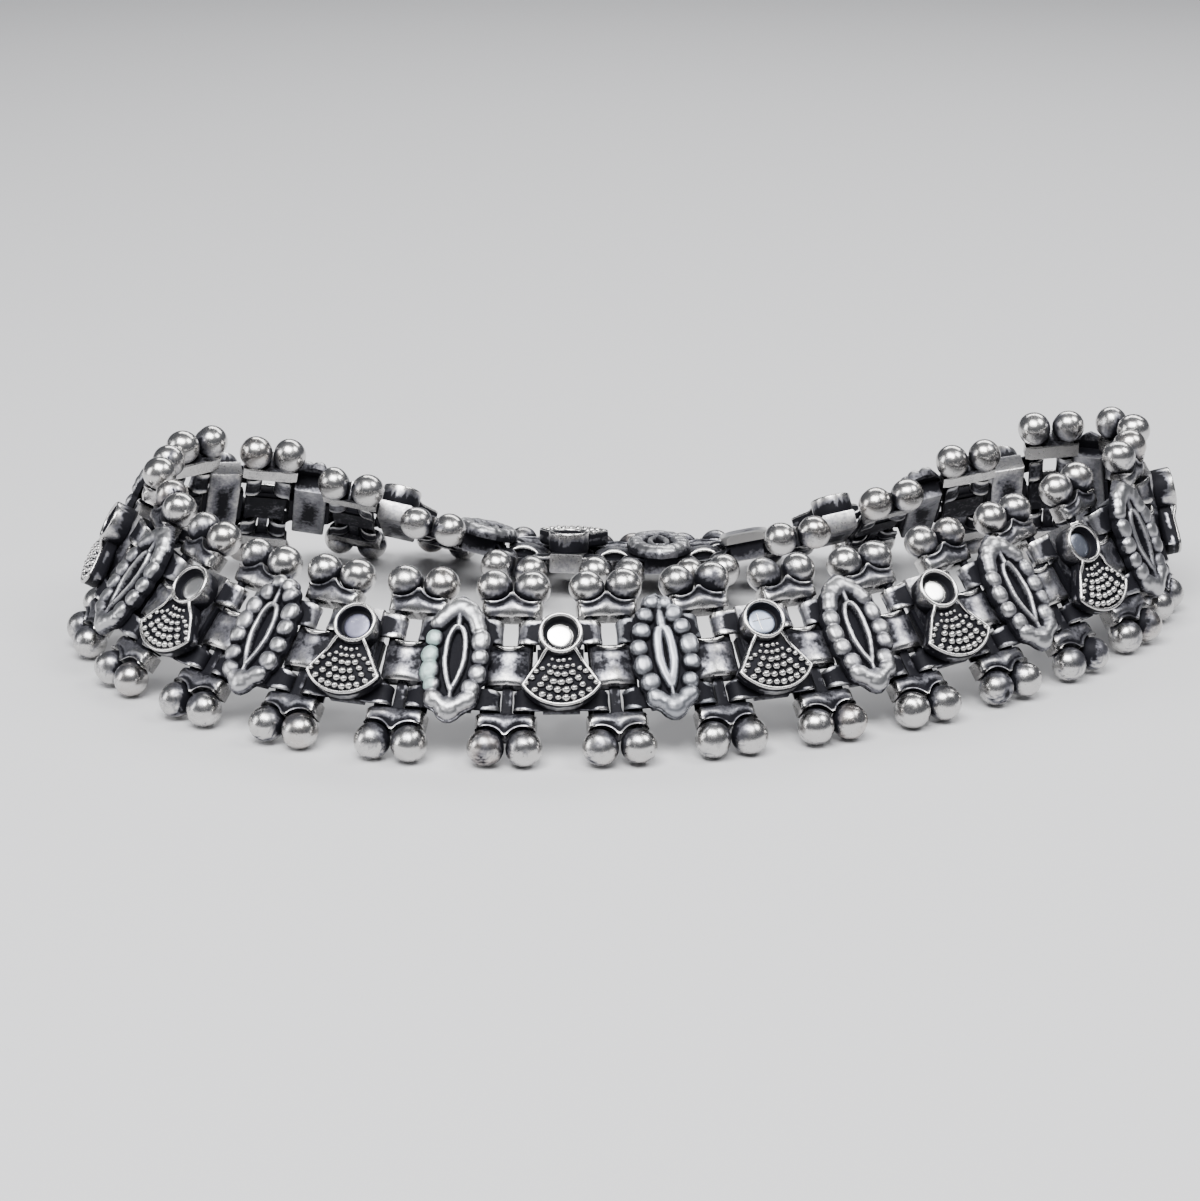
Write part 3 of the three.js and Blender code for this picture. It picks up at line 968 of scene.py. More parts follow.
    def ring_distance(self, x: Array, y: Array) -> Array:
        """How far each point lies outside the ring's centre line, which has a round head.

        The ring's half-width at the share t of its half-length is 1 - t^1.7 below its middle
        and (1 - t^3)^0.6 above it, in its greatest half-widths. The sideways distance is
        shortened by the line's slope.

        Args:
            x: places along the band.
            y: places across it, from the ring's middle.

        Returns:
            The distances, negative inside the ring.
        """
        share = np.clip(np.abs(y) / self.eye_half_length, 0.0, 1.0)
        head = (1.0 - share ** 3) ** 0.6
        foot = 1.0 - share ** 1.7
        half = self.eye_half_width * np.where(y > 0, head, foot)
        steep = np.where(y > 0, 1.8 * share ** 2 / np.maximum(head, 0.3) ** 0.667, 1.7 * share ** 0.7)
        lean = 1.0 / np.hypot(1.0, self.eye_half_width / self.eye_half_length * steep)
        beyond = np.clip(np.abs(y) - self.eye_half_length, 0.0, None)
        return np.where(beyond > 0, np.hypot(x, beyond), (np.abs(x) - half) * lean)

    def shells(self, rng: np.random.Generator) -> list[Shell]:
        """All of the plaque's surfaces."""
        return [self.face(rng), *Backing().shells(rng)]


class Disc(Enum):
    """How the disc at the bottom of a fan's cup is finished."""

    MIRROR = "mirror"
    SATIN = "satin"
    DULL = "dull"
    SCRATCHED = "scratched"
    BLUED = "blued"


@dataclass(frozen=True)
class GrainRow:
    """A row of grains: its lowest height, its arc's radius, and its grains' count, reach and size."""

    low: float
    bend: float
    count: int
    reach: float
    size: float


@dataclass
class Fan:
    """The fan plaque: a cup with a polished disc over a flared skirt of fine grains."""

    cup_y: float = 1.55
    cup_r: float = 1.58
    cup_top: float = 2.58
    cup_floor: float = 1.82
    bore_r: float = 1.27
    disc_r: float = 0.99
    disc_rise: float = 0.18  # of the disc's middle over the cup's floor
    round_sides: int = 48
    half_width: float = 2.85
    corner_y: float = -2.05
    low_y: float = -3.9
    neck_half: float = 1.12
    neck_y: float = 0.35
    back: float = 0.92  # height where the skirt and the cup meet the backing plate
    face_z: float = 2.0
    rim_r: float = 0.13
    rim_climb: float = 0.36  # of the rim's wire, from the skirt's face up to the cup
    grain_rows: tuple[GrainRow, ...] = (
        GrainRow(-0.42, 2.2, 4, 0.6, 0.19),
        GrainRow(-0.95, 2.2, 5, 0.85, 0.22),
        GrainRow(-1.52, 1.9, 6, 1.3, 0.27),
        GrainRow(-2.1, 2.2, 7, 1.72, 0.295),
        GrainRow(-2.7, 2.65, 8, 2.05, 0.3),
        GrainRow(-3.3, 3.1, 10, 2.42, 0.28),
    )
    cross: bool = False
    scratch_ends: tuple[tuple[Place, Place], ...] = (
        ((-0.72, 0.05), (0.74, 0.2)), ((-0.28, 0.62), (-0.2, -0.66)))
    scratch_r: float = 0.045

    def arc_y(self, x: Array, low: float) -> Array:
        """Height of the skirt's lower arc over each x.

        Args:
            x: places along the band.
            low: the arc's lowest height.

        Returns:
            The heights, on one circle.
        """
        sag = self.corner_y - self.low_y
        radius = (self.half_width ** 2 + sag ** 2) / (2 * sag)
        return low + radius - np.sqrt(np.clip(radius ** 2 - x ** 2, 0, None))

    def outline(self, inset: float) -> Array:
        """The skirt's edge: down the left flank, round the arc and up the right flank.

        Args:
            inset: how far inside the skirt's own edge it runs.

        Returns:
            Points in the plane, counterclockwise.
        """
        half = self.half_width - inset * 1.25
        x = half * np.sin(np.linspace(-1, 1, 25) * math.pi / 2 * 0.98) / math.sin(math.pi / 2 * 0.98)
        arc = np.column_stack([x, self.arc_y(x, self.low_y + inset)])
        share = np.linspace(0, 1, 12)[1:-1, None]
        neck = np.array([self.neck_half - inset, self.neck_y])
        right = arc[-1] + (neck - arc[-1]) * share
        left = (right * [-1.0, 1.0])[::-1]
        top = np.column_stack([np.linspace(neck[0], -neck[0], 6), np.full(6, self.neck_y)])
        return np.concatenate([arc, right, top, left])

    def skirt(self, rng: np.random.Generator) -> list[Shell]:
        """The skirt's block, with an uneven wall, and the wire round its face that climbs to the cup.

        Args:
            rng: source of their small differences.

        Returns:
            The block and the wire.
        """
        edge = self.outline(0.03)
        top = self.face_z
        levels = ((self.back, 0.22), (1.12, 0.03), (1.2, 0.0), (1.6, 0.0),
                  (top - 0.12, 0.0), (top - 0.02, 0.0), (top, 0.02))
        block = slab(edge + rng.normal(0.0, 0.012, edge.shape), levels)
        block.bias = np.where(block.points[:, 2] > top - 0.2, -1.0, -0.3)
        line = self.outline(self.rim_r + 0.01)
        line = np.concatenate([line[-11:], line[:-15]])
        path = np.column_stack([line, np.full(len(line), top + 0.06)])
        path[:, 2] += 0.015 * ripple(path[:, :2], 1.5, rng)
        path[:, 2] += self.rim_climb * smooth_step(-0.6, 0.35, line[:, 1])
        wire = rod(path, self.rim_r * (1.0 + 0.06 * ripple(path[:, :2], 1.0, rng)), 10)
        wire.bias = 0.2
        return [block, wire]

    def grains(self, rng: np.random.Generator) -> list[Shell]:
        """Rows of small half-sunk balls along arcs like the skirt's lower edge.

        Args:
            rng: source of their sizes and places.

        Returns:
            One shell per grain.
        """
        shells = []
        for row in self.grain_rows:
            for x in np.linspace(-row.reach, row.reach, row.count):
                r = row.size * rng.uniform(0.9, 1.06) * (1.0 - 0.22 * (abs(x) / row.reach) ** 4)
                grain = ball((r * rng.uniform(0.98, 1.12), r * rng.uniform(0.86, 0.98), r * 1.1), 5, 10)
                y = row.low + row.bend - math.sqrt(row.bend ** 2 - x ** 2)
                grain.moved((x + rng.uniform(-0.03, 0.03), y + rng.uniform(-0.03, 0.03), self.face_z + 0.03))
                grain.bias = np.where(grain.points[:, 2] > self.face_z + 0.1, 0.35, -0.3)
                shells.append(grain)
        return shells

    def cup(self, rng: np.random.Generator) -> Shell:
        """The cup: a straight wall, a half-round rim, and a bore that narrows to a flat floor.

        Args:
            rng: source of its unevenness.

        Returns:
            The closed shell, dark in its bore and bright on its rim.
        """
        outer, bore, floor = self.cup_r, self.bore_r, self.cup_floor
        turn = np.linspace(0.0, math.pi, 9)
        lip = (outer - bore) / 2
        rim = np.array([bore + lip, self.cup_top - lip]) + lip * np.column_stack([np.cos(turn), np.sin(turn)])
        wall = np.array([[AXIS_R, self.back], [outer - 0.1, self.back], [outer - 0.02, 1.05], [outer, 1.6]])
        well = np.array([[bore - 0.04, 2.15], [bore - 0.1, floor + 0.05],
                         [bore - 0.16, floor], [AXIS_R, floor]])
        body = turned(np.concatenate([wall, rim, well]), self.round_sides, 0.01, rng)
        on_rim = [-0.1, 0.1, 0.3, 0.4, 0.4, 0.4, 0.3, 0.0, -0.6]
        shade = np.concatenate([np.full(len(wall), -0.25), on_rim, np.full(len(well), -1.0)])
        body.bias = np.concatenate([np.repeat(shade, self.round_sides), [-0.25, -1.0]])
        return body.moved((0.0, self.cup_y, 0.0))

    def disc(self, rng: np.random.Generator) -> Shell:
        """The disc: flat in its middle, rounded off as a sixth power, dropped in slightly askew.

        Args:
            rng: source of its tilt and place.

        Returns:
            The closed shell.
        """
        r, z = self.disc_r, self.cup_floor
        share = np.array([0.97, 0.92, 0.85, 0.75, 0.6, 0.4, 0.02])
        top = np.column_stack([r * share, z + self.disc_rise - 0.09 * share ** 6])
        profile = np.concatenate([[[AXIS_R, z - 0.05], [r, z - 0.05], [r, z + 0.06]], top])
        shell = turned(profile, self.round_sides, 0.006, rng)
        tilt = rng.uniform(-0.05, 0.05, 2)
        shell.points[:, 2] += shell.points[:, :2] @ tilt
        shell.slot = 1
        return shell.moved((rng.uniform(-0.05, 0.05), self.cup_y + rng.uniform(-0.05, 0.02), 0.0))

    def scratches(self) -> list[Shell]:
        """Two fine burrs that cross on the disc, each a hair of metal along a straight line.

        Returns:
            One shell per burr.
        """
        share = np.linspace(0.0, 1.0, 9)[:, None]
        hairs = []
        for start, end in self.scratch_ends:
            line = np.array(start) + (np.array(end) - start) * share
            path = np.hstack([line, np.full((len(line), 1), self.cup_floor + self.disc_rise)])
            hair = rod(path, self.scratch_r, 8).moved((0.0, self.cup_y, 0.0))
            hair.bias = 1.0
            hairs.append(hair)
        return hairs

    def shells(self, rng: np.random.Generator) -> list[Shell]:
        """All of the plaque's surfaces.

        Args:
            rng: source of their small differences.

        Returns:
            The closed shells.
        """
        own = [*self.skirt(rng), self.cup(rng), self.disc(rng), *self.grains(rng)]
        scratches = self.scratches() if self.cross else []
        return [*own, *Backing().shells(rng), *scratches]


@dataclass
class Clasp:
    """The clasp's plaque: a plain pillowed plate of the band's own section."""

    half_width: float = 1.88
    half_length: float = 3.78
    top: float = 1.66
    taper: float = 0.22  # how much narrower its ends are, as a share
    taper_from: float = 0.82

    def shells(self, rng: np.random.Generator) -> list[Shell]:
        """The plate, let down towards its edges as a fourth and a sixth power, and its backing.

        Args:
            rng: source of their small differences.

        Returns:
            The closed shells.
        """
        across, along = np.meshgrid(np.linspace(-1, 1, 33), np.linspace(-1, 1, 61))
        past = np.clip(np.abs(along) - self.taper_from, 0, None) / (1.0 - self.taper_from)
        x = across * self.half_width * (1.0 - self.taper * past)
        y = along * self.half_length
        z = self.top - 0.18 * across ** 4 - 0.1 * along ** 6
        z += 0.014 * grid_ripple(x, y, 1.4, rng)
        return [plate(grid_points(x, y, z), FACE_BACK), *Backing().shells(rng)]


# ---- wear ------------------------------------------------------------------------------------

@dataclass
class Relief:
    """How high each point stands over the metal round it, which decides where it is worn bright.

    The surfaces are sampled evenly, the highest sample in each cell of a grid is kept, and the
    grid is blurred by a bell curve. A point's relief is its own height less the blurred height.
    """

    half_x: float = 8.0
    half_y: float = 9.0
    cell: float = 0.1
    empty: float = -1.2  # height of a cell with no metal in it
    samples_a_cell: int = 5

    def samples(self, shells: list[Shell], shift: float) -> Array:
        """Points spread over the shells' triangles by area.

        Args:
            shells: the surfaces.
            shift: how far along the band they are moved.

        Returns:
            The points, one per row.
        """
        rng = np.random.default_rng(SPREAD_SEED)
        found = []
        for shell in shells:
            a, b, c = (shell.points[shell.corners()[:, k]] for k in range(3))
            area = np.linalg.norm(np.cross(b - a, c - a), axis=1)
            count = int(area.sum() / 2 / (self.cell ** 2) * self.samples_a_cell) + 20
            pick = rng.choice(len(a), count, p=area / area.sum())
            u, v = rng.random((2, count, 1))
            u, v = np.where(u + v > 1, 1 - u, u), np.where(u + v > 1, 1 - v, v)
            found.append(a[pick] + u * (b - a)[pick] + v * (c - a)[pick] + [shift, 0.0, 0.0])
        return np.concatenate(found)

    def shape(self) -> tuple[int, int]:
        """The grid's cells along the band and across it."""
        return int(2 * self.half_x / self.cell), int(2 * self.half_y / self.cell)

    def blurred(self, points: Array, width: float) -> Array:
        """The grid of greatest heights, blurred by a bell curve of the given width.

        Args:
            points: the samples, one per row.
            width: the bell curve's width, in millimetres.

        Returns:
            A height for each cell.
        """
        grid = np.full(self.shape(), self.empty)
        np.maximum.at(grid, self.cells(points), points[:, 2])
        waves = [np.fft.fftfreq(n, self.cell) for n in self.shape()]
        kept = np.exp(-2.0 * (math.pi * width) ** 2 * (waves[0][:, None] ** 2 + waves[1][None, :] ** 2))
        return np.real(np.fft.ifft2(np.fft.fft2(grid) * kept))

    def cells(self, points: Array) -> tuple[Array, Array]:
        """The grid cell that each point falls in, or the nearest one.

        Args:
            points: points, one per row.

        Returns:
            The cells' two indices.
        """
        i, j = (np.clip(((points[:, axis] + half) / self.cell).astype(int), 0, count - 1)
                for axis, half, count in zip((0, 1), (self.half_x, self.half_y), self.shape()))
        return i, j


@dataclass
class WearMaps:
    """Blurred heights, fine and broad, of a piece among its neighbours, for front and back."""

    fine: Array
    broad: Array
    back: Array
    fine_width: ClassVar[float] = 0.2
    broad_width: ClassVar[float] = 0.6

    @classmethod
    def of(cls, middle: list[Shell], beside: list[Shell]) -> "WearMaps":
        """Measures a piece with a neighbour half a pitch to either side.

        Args:
            middle: the piece's shells.
            beside: the shells of each of its neighbours.

        Returns:
            The three maps.
        """
        relief = Relief()
        points = np.concatenate([relief.samples(middle, 0.0), relief.samples(beside, -HALF_PITCH),
                                 relief.samples(beside, HALF_PITCH)])
        turned_over = points * [1.0, 1.0, -1.0]
        return cls(relief.blurred(points, cls.fine_width), relief.blurred(points, cls.broad_width),
                   relief.blurred(turned_over, cls.broad_width))

    def wear(self, points: Array) -> Array:
        """How worn each point is: 0 in a recess, about 0.5 on level metal, 1 on a high spot.

        Args:
            points: points in the piece's own frame.

        Returns:
            The wear of each, from 0 to 1.
        """
        i, j = Relief().cells(points)
        z = points[:, 2]
        front = 0.5 + 1.5 * (z - self.fine[i, j]) + 0.75 * (z - self.broad[i, j])
        back = 0.45 + 0.9 * (-z - self.back[i, j])
        return np.clip(np.maximum(front, back), 0.0, 1.0)


# ---- finishes --------------------------------------------------------------------------------

WARM_STAIN: Color = (0.42, 0.35, 0.30)
VERDIGRIS: Color = (0.38, 0.53, 0.50)
FRESH_SCRATCH: Color = (0.85, 0.86, 0.88)
BARE_FROM, BARE_TO = 0.34, 0.6  # wear at which the oxide starts to give way, and is gone
SHINE_FROM, SHINE_TO = 0.52, 0.95  # wear at which grey metal starts to brighten, and is bright


@dataclass(frozen=True)
class Silver:
    """An oxidised silver finish: black in the recesses, grey on level metal, bright where worn."""

    name: str
    oxide: Color = (0.008, 0.008, 0.011)
    grey: Color = (0.16, 0.16, 0.18)
    bright: Color = (0.56, 0.55, 0.54)
    polish: float = 0.26
    scratches: float = 0.5


@dataclass(frozen=True)
class DiscFinish:
    """The finish of a cup's disc."""

    name: str
    color: Color
    roughness: float
    streaks: float


DISC_FINISHES: dict[Disc, DiscFinish] = {
    Disc.MIRROR: DiscFinish("disc_mirror", (0.93, 0.92, 0.90), 0.16, 0.15),
    Disc.SATIN: DiscFinish("disc_satin", (0.62, 0.62, 0.62), 0.3, 0.4),
    Disc.DULL: DiscFinish("disc_dull", (0.20, 0.20, 0.27), 0.45, 0.5),
    Disc.SCRATCHED: DiscFinish("disc_scratched", (0.36, 0.41, 0.51), 0.42, 0.8),
    Disc.BLUED: DiscFinish("disc_blued", (0.34, 0.37, 0.45), 0.3, 0.4),
}


class NodePen:
    """Adds nodes to a tree and wires them, left to right."""

    def __init__(self, tree: bpy.types.NodeTree) -> None:
        """Keeps the tree."""
        self.tree = tree
        self.column = 0

    def add(self, kind: str, **values: object) -> bpy.types.Node:
        """Adds a node and sets its properties.

        Args:
            kind: the node's type name.
            values: properties of the node.

        Returns:
            The new node.
        """
        node = self.tree.nodes.new(kind)
        for key, value in values.items():
            setattr(node, key, value)
        node.location = (self.column * 180, 0)
        self.column += 1
        return node

    def feed(self, socket: bpy.types.NodeSocket, value: object) -> None:
        """Links a socket to another, or sets its value.

        Args:
            socket: the input.
            value: another socket, or a plain value.
        """
        if isinstance(value, bpy.types.NodeSocket):
            self.tree.links.new(value, socket)
        else:
            socket.default_value = value

    def math(self, operation: str, a: object, b: object = 0.0, c: object = 0.0) -> bpy.types.NodeSocket:
        """A Math node's result.

        Args:
            operation: what the node does.
            a: its first input, a socket or a value.
            b: its second input.
            c: its third input.

        Returns:
            The node's output.
        """
        node = self.add("ShaderNodeMath", operation=operation)
        for socket, value in zip(node.inputs, (a, b, c)):
            self.feed(socket, value)
        return node.outputs[0]

    def plus(self, base: object, value: object, times: object) -> bpy.types.NodeSocket:
        """The base plus a value times a factor."""
        return self.math("MULTIPLY_ADD", value, times, base)

    def swayed(self, base: object, noise: object, times: float) -> bpy.types.NodeSocket:
        """The base, moved up and down by a noise about its mean of one half."""
        return self.plus(base, self.math("SUBTRACT", noise, 0.5), times)

    def rest_of(self, share: object) -> bpy.types.NodeSocket:
        """One less a share."""
        return self.math("SUBTRACT", 1.0, share)

    def ranged(self, value: object, source: Span, target: Span = (0.0, 1.0)) -> bpy.types.NodeSocket:
        """A value mapped smoothly from one range to another, and held at its ends.

        Args:
            value: the socket to map.
            source: the range that it comes from.
            target: the range that it goes to.

        Returns:
            The node's output.
        """
        node = self.add("ShaderNodeMapRange", interpolation_type="SMOOTHSTEP")
        for socket, item in zip(node.inputs, (value, *source, *target)):
            self.feed(socket, item)
        return node.outputs[0]

    def mixed(self, share: object, a: object, b: object) -> bpy.types.NodeSocket:
        """Two colours mixed, the second one by the share.

        Args:
            share: how much of the second there is, from 0 to 1.
            a: the first colour.
            b: the second colour.

        Returns:
            The node's output.
        """
        node = self.add("ShaderNodeMix", data_type="RGBA")
        for number, value in ((0, share), (6, a), (7, b)):
            self.feed(node.inputs[number], value)
        return node.outputs[2]

    def noise(self, vector: object, scale: float, detail: float, rough: float = 0.5) -> bpy.types.NodeSocket:
        """A Noise Texture's value.

        Args:
            vector: the socket of the coordinates.
            scale: how fine the noise is.
            detail: how many finer layers it has.
            rough: how strong each finer layer is.

        Returns:
            The node's output, about one half on average.
        """
        node = self.add("ShaderNodeTexNoise")
        self.feed(node.inputs["Vector"], vector)
        node.inputs["Scale"].default_value = scale
        node.inputs["Detail"].default_value = detail
        node.inputs["Roughness"].default_value = rough
        return node.outputs[0]

    def bump(self, shader: bpy.types.Node, height: object, strength: float, depth: float) -> None:
        """Dents a shader's normal by a height.

        Args:
            shader: the shader node.
            height: the height's socket.
            strength: how strong the bump is, from 0 to 1.
            depth: how deep a height of 1 is, in millimetres.
        """
        bump = self.add("ShaderNodeBump")
        bump.inputs["Strength"].default_value = strength
        bump.inputs["Distance"].default_value = depth * MM
        self.feed(bump.inputs["Height"], height)
        self.feed(shader.inputs["Normal"], bump.outputs[0])


def color4(rgb: Color) -> tuple[float, float, float, float]:
    """A colour with full alpha."""
    return (*rgb, 1.0)


def sockets(tree: bpy.types.NodeTree, in_out: str, kind: str, *names: str) -> None:
    """Gives a node group sockets of one kind."""
    for name in names:
        tree.interface.new_socket(name, in_out=in_out, socket_type=f"NodeSocket{kind}")


def scratch_group() -> bpy.types.NodeTree:
    """Fine scratches and pits on Object coordinates: stretched noise in three directions.

    Returns:
        A group with the outputs Scratch (1 in a scratch), Grain (fine noise) and Pit.
    """
    tree = bpy.data.node_groups.new("fine_scratches", "ShaderNodeTree")
    sockets(tree, "OUTPUT", "Float", "Scratch", "Grain", "Pit")
    pen = NodePen(tree)
    place = pen.add("ShaderNodeTexCoord").outputs["Object"]
    lines = None
    for angles, scale in (((0.3, 0.2, 0.7), 900.0), ((1.1, 0.5, -0.6), 1300.0), ((0.2, 1.2, 1.9), 700.0)):
        turn = pen.add("ShaderNodeMapping")
        pen.feed(turn.inputs["Vector"], place)
        turn.inputs["Rotation"].default_value = angles
        turn.inputs["Scale"].default_value = (1.0, 0.04, 1.0)
        streak = pen.ranged(pen.noise(turn.outputs[0], scale * 4, 2.0), (0.62, 0.72))
        patch = pen.ranged(pen.noise(place, scale * 0.5, 1.0), (0.5, 0.62))
        part = pen.math("MULTIPLY", streak, patch)
        lines = part if lines is None else pen.math("MAXIMUM", lines, part)
    grain = pen.noise(place, 5200.0, 3.0, 0.6)
    cells = pen.add("ShaderNodeTexVoronoi")
    pen.feed(cells.inputs["Vector"], place)
    cells.inputs["Scale"].default_value = 1500.0
    pit = pen.ranged(cells.outputs["Distance"], (0.06, 0.16), (1.0, 0.0))
    rare = pen.ranged(pen.noise(place, 700.0, 2.0), (0.56, 0.62))
    out = pen.add("NodeGroupOutput")
    for name, value in (("Scratch", lines), ("Grain", grain), ("Pit", pen.math("MULTIPLY", pit, rare))):
        pen.feed(out.inputs[name], value)
    return tree


def silver_group(scratches: bpy.types.NodeTree) -> bpy.types.NodeTree:
    """Oxidised silver: the wear attribute, roughened by noise, mixes oxide, grey and bright metal.

    Args:
        scratches: the group of fine scratches.

    Returns:
        A group with the inputs Oxide, Grey, Bright, Polish and Scratches, and the outputs Color,
        Metallic, Roughness and Height.
    """
    tree = bpy.data.node_groups.new("oxidised_silver", "ShaderNodeTree")
    sockets(tree, "INPUT", "Color", "Oxide", "Grey", "Bright")
    sockets(tree, "INPUT", "Float", "Polish", "Scratches")
    sockets(tree, "OUTPUT", "Color", "Color")
    sockets(tree, "OUTPUT", "Float", "Metallic", "Roughness", "Height")
    pen = NodePen(tree)
    given = pen.add("NodeGroupInput").outputs
    place = pen.add("ShaderNodeTexCoord").outputs["Object"]
    # The wear attribute also carries the painted highlights and shade that some shells' biases add.
    wear = pen.add("ShaderNodeAttribute", attribute_name="wear").outputs["Fac"]
    tint = pen.add("ShaderNodeAttribute", attribute_name="tint").outputs["Fac"]
    fine = pen.add("ShaderNodeGroup", node_tree=scratches).outputs
    blotch = pen.noise(place, 900.0, 4.0, 0.6)
    speckle = pen.noise(place, 3600.0, 3.0, 0.65)
    scratch = pen.math("MULTIPLY", fine["Scratch"], given["Scratches"])

    rough_wear = pen.swayed(pen.swayed(wear, blotch, 0.5), speckle, 0.3)
    bare = pen.ranged(rough_wear, (BARE_FROM, BARE_TO))
    shine = pen.ranged(rough_wear, (SHINE_FROM, SHINE_TO))
    warm = pen.ranged(pen.swayed(pen.math("MULTIPLY", tint, -0.5), blotch, 1.6), (0.15, 0.85), (0.0, 0.5))
    cool = pen.ranged(pen.swayed(tint, speckle, 0.9), (0.35, 1.0), (0.0, 0.85))

    metal = pen.mixed(shine, given["Grey"], given["Bright"])
    metal = pen.mixed(warm, metal, color4(WARM_STAIN))
    metal = pen.mixed(cool, metal, color4(VERDIGRIS))
    color = pen.mixed(bare, given["Oxide"], metal)
    color = pen.mixed(pen.math("MULTIPLY", fine["Pit"], 0.85), color, given["Oxide"])

    metallic = pen.plus(pen.plus(0.25, bare, 0.75), cool, -0.45)
    rough = pen.swayed(given["Polish"], fine["Grain"], 0.16)
    rough = pen.plus(rough, scratch, 0.2)
    rough = pen.plus(rough, pen.rest_of(shine), 0.12)
    rough = pen.plus(rough, pen.rest_of(bare), 0.22)
    rough = pen.plus(rough, cool, 0.2)
    height = pen.math("MULTIPLY", scratch, -0.4)
    for value, times in ((fine["Grain"], 0.3), (fine["Pit"], -1.0), (blotch, 0.8)):
        height = pen.plus(height, value, times)
    out = pen.add("NodeGroupOutput")
    for name, value in (("Color", color), ("Metallic", metallic), ("Roughness", rough), ("Height", height)):
        pen.feed(out.inputs[name], value)
    return tree


@dataclass
class Finisher:
    """Makes the materials from their finishes, each one once."""

    scratches: bpy.types.NodeTree
    silver: bpy.types.NodeTree
    made: dict[str, bpy.types.Material] = field(default_factory=dict)

    @classmethod
    def ready(cls) -> "Finisher":
        """Builds the shared node groups."""
        scratches = scratch_group()
        return cls(scratches, silver_group(scratches))

    def start(self, name: str) -> tuple[bpy.types.Material, NodePen, bpy.types.Node]:
        """A new material with its own Principled BSDF.

        Args:
            name: the material's name.

        Returns:
            The material, a pen on its tree, and the shader node.
        """
        material = bpy.data.materials.new(name)
        material.use_nodes = True
        material.node_tree.nodes.clear()
        pen = NodePen(material.node_tree)
        shader = pen.add("ShaderNodeBsdfPrincipled")
        out = pen.add("ShaderNodeOutputMaterial")
        material.node_tree.links.new(shader.outputs[0], out.inputs[0])
        self.made[name] = material
        return material, pen, shader

    def silver_material(self, finish: Silver) -> bpy.types.Material:
        """A material of oxidised silver.

        Args:
            finish: its colours, polish and scratches.

        Returns:
            The material, made on first use.
        """
        if finish.name in self.made:
            return self.made[finish.name]
        material, pen, shader = self.start(finish.name)
        group = pen.add("ShaderNodeGroup", node_tree=self.silver)
        for name, value in (("Oxide", color4(finish.oxide)), ("Grey", color4(finish.grey)),
                            ("Bright", color4(finish.bright)), ("Polish", finish.polish),
                            ("Scratches", finish.scratches)):
            group.inputs[name].default_value = value
        shader.inputs["Specular IOR Level"].default_value = 0.12
        for name, output in (("Base Color", "Color"), ("Metallic", "Metallic"), ("Roughness", "Roughness")):
            pen.feed(shader.inputs[name], group.outputs[output])
        pen.bump(shader, group.outputs["Height"], 0.35, 0.03)
        return material

    def disc_material(self, finish: DiscFinish) -> bpy.types.Material:
        """A disc's material: bare metal with scratches that lighten or darken it.

        Args:
            finish: its colour, roughness and how scratched it is.

        Returns:
            The material, made on first use.
        """
        if finish.name in self.made:
            return self.made[finish.name]
        material, pen, shader = self.start(finish.name)
        fine = pen.add("ShaderNodeGroup", node_tree=self.scratches).outputs
        place = pen.add("ShaderNodeTexCoord").outputs["Object"]
        cloud = pen.noise(place, 1400.0, 3.0)
        dark = tuple(0.45 * c for c in finish.color)
        share = pen.ranged(cloud, (0.5, 0.75), (0.0, 0.5 * finish.streaks))
        color = pen.mixed(share, color4(finish.color), color4(dark))
        mark = pen.math("MULTIPLY", fine["Scratch"], 0.8 * finish.streaks)
        pen.feed(shader.inputs["Base Color"], pen.mixed(mark, color, color4(FRESH_SCRATCH)))
        rough = pen.plus(finish.roughness - 0.04, cloud, 0.1)
        pen.feed(shader.inputs["Roughness"], pen.plus(rough, mark, 0.2))
        shader.inputs["Metallic"].default_value = 1.0
        pen.bump(shader, pen.math("SUBTRACT", cloud, mark), 0.25, 0.02)
        return material


# ---- assembly --------------------------------------------------------------------------------

class Kind(Enum):
    """The kinds of piece, by the first word of their nodes' names."""

    LINK = "link"
    MARQUISE = "marquise"
    FAN = "fan"
    CLASP = "clasp"


SILVERS: dict[Kind, Silver] = {
    Kind.LINK: Silver("link_silver", polish=0.24, scratches=0.6),
    Kind.MARQUISE: Silver("marquise_silver", grey=(0.18, 0.18, 0.2), bright=(0.43, 0.43, 0.44),
                          polish=0.35, scratches=0.5),
    Kind.FAN: Silver("fan_silver", polish=0.25, scratches=0.4),
    Kind.CLASP: Silver("clasp_silver", polish=0.32, scratches=0.9),
}

SILVERS_BY_NODE: dict[str, Silver] = {
    "marquise_01": Silver("marquise_silver_cool", grey=(0.16, 0.165, 0.18), bright=(0.33, 0.34, 0.37),
                          polish=0.38, scratches=0.5),
}

DISCS: dict[str, Disc] = {
    "fan_00": Disc.MIRROR, "fan_02": Disc.SCRATCHED, "fan_04": Disc.MIRROR, "fan_06": Disc.BLUED,
    "fan_25": Disc.DULL, "fan_23": Disc.SATIN, "fan_21": Disc.BLUED,
}

SINGULAR: dict[str, Marquise | Fan] = {
    "fan_02": Fan(cross=True),
    "marquise_01": Marquise(eye_wire=0.42, eye_half_width=0.52, eye_half_length=2.25, beaded_top=True),
    "marquise_24": Marquise(beaded_top=True),
    "marquise_07": Marquise(eye_half_width=0.74),
    "marquise_11": Marquise(beaded_top=True),
    "marquise_18": Marquise(beaded_top=True),
}


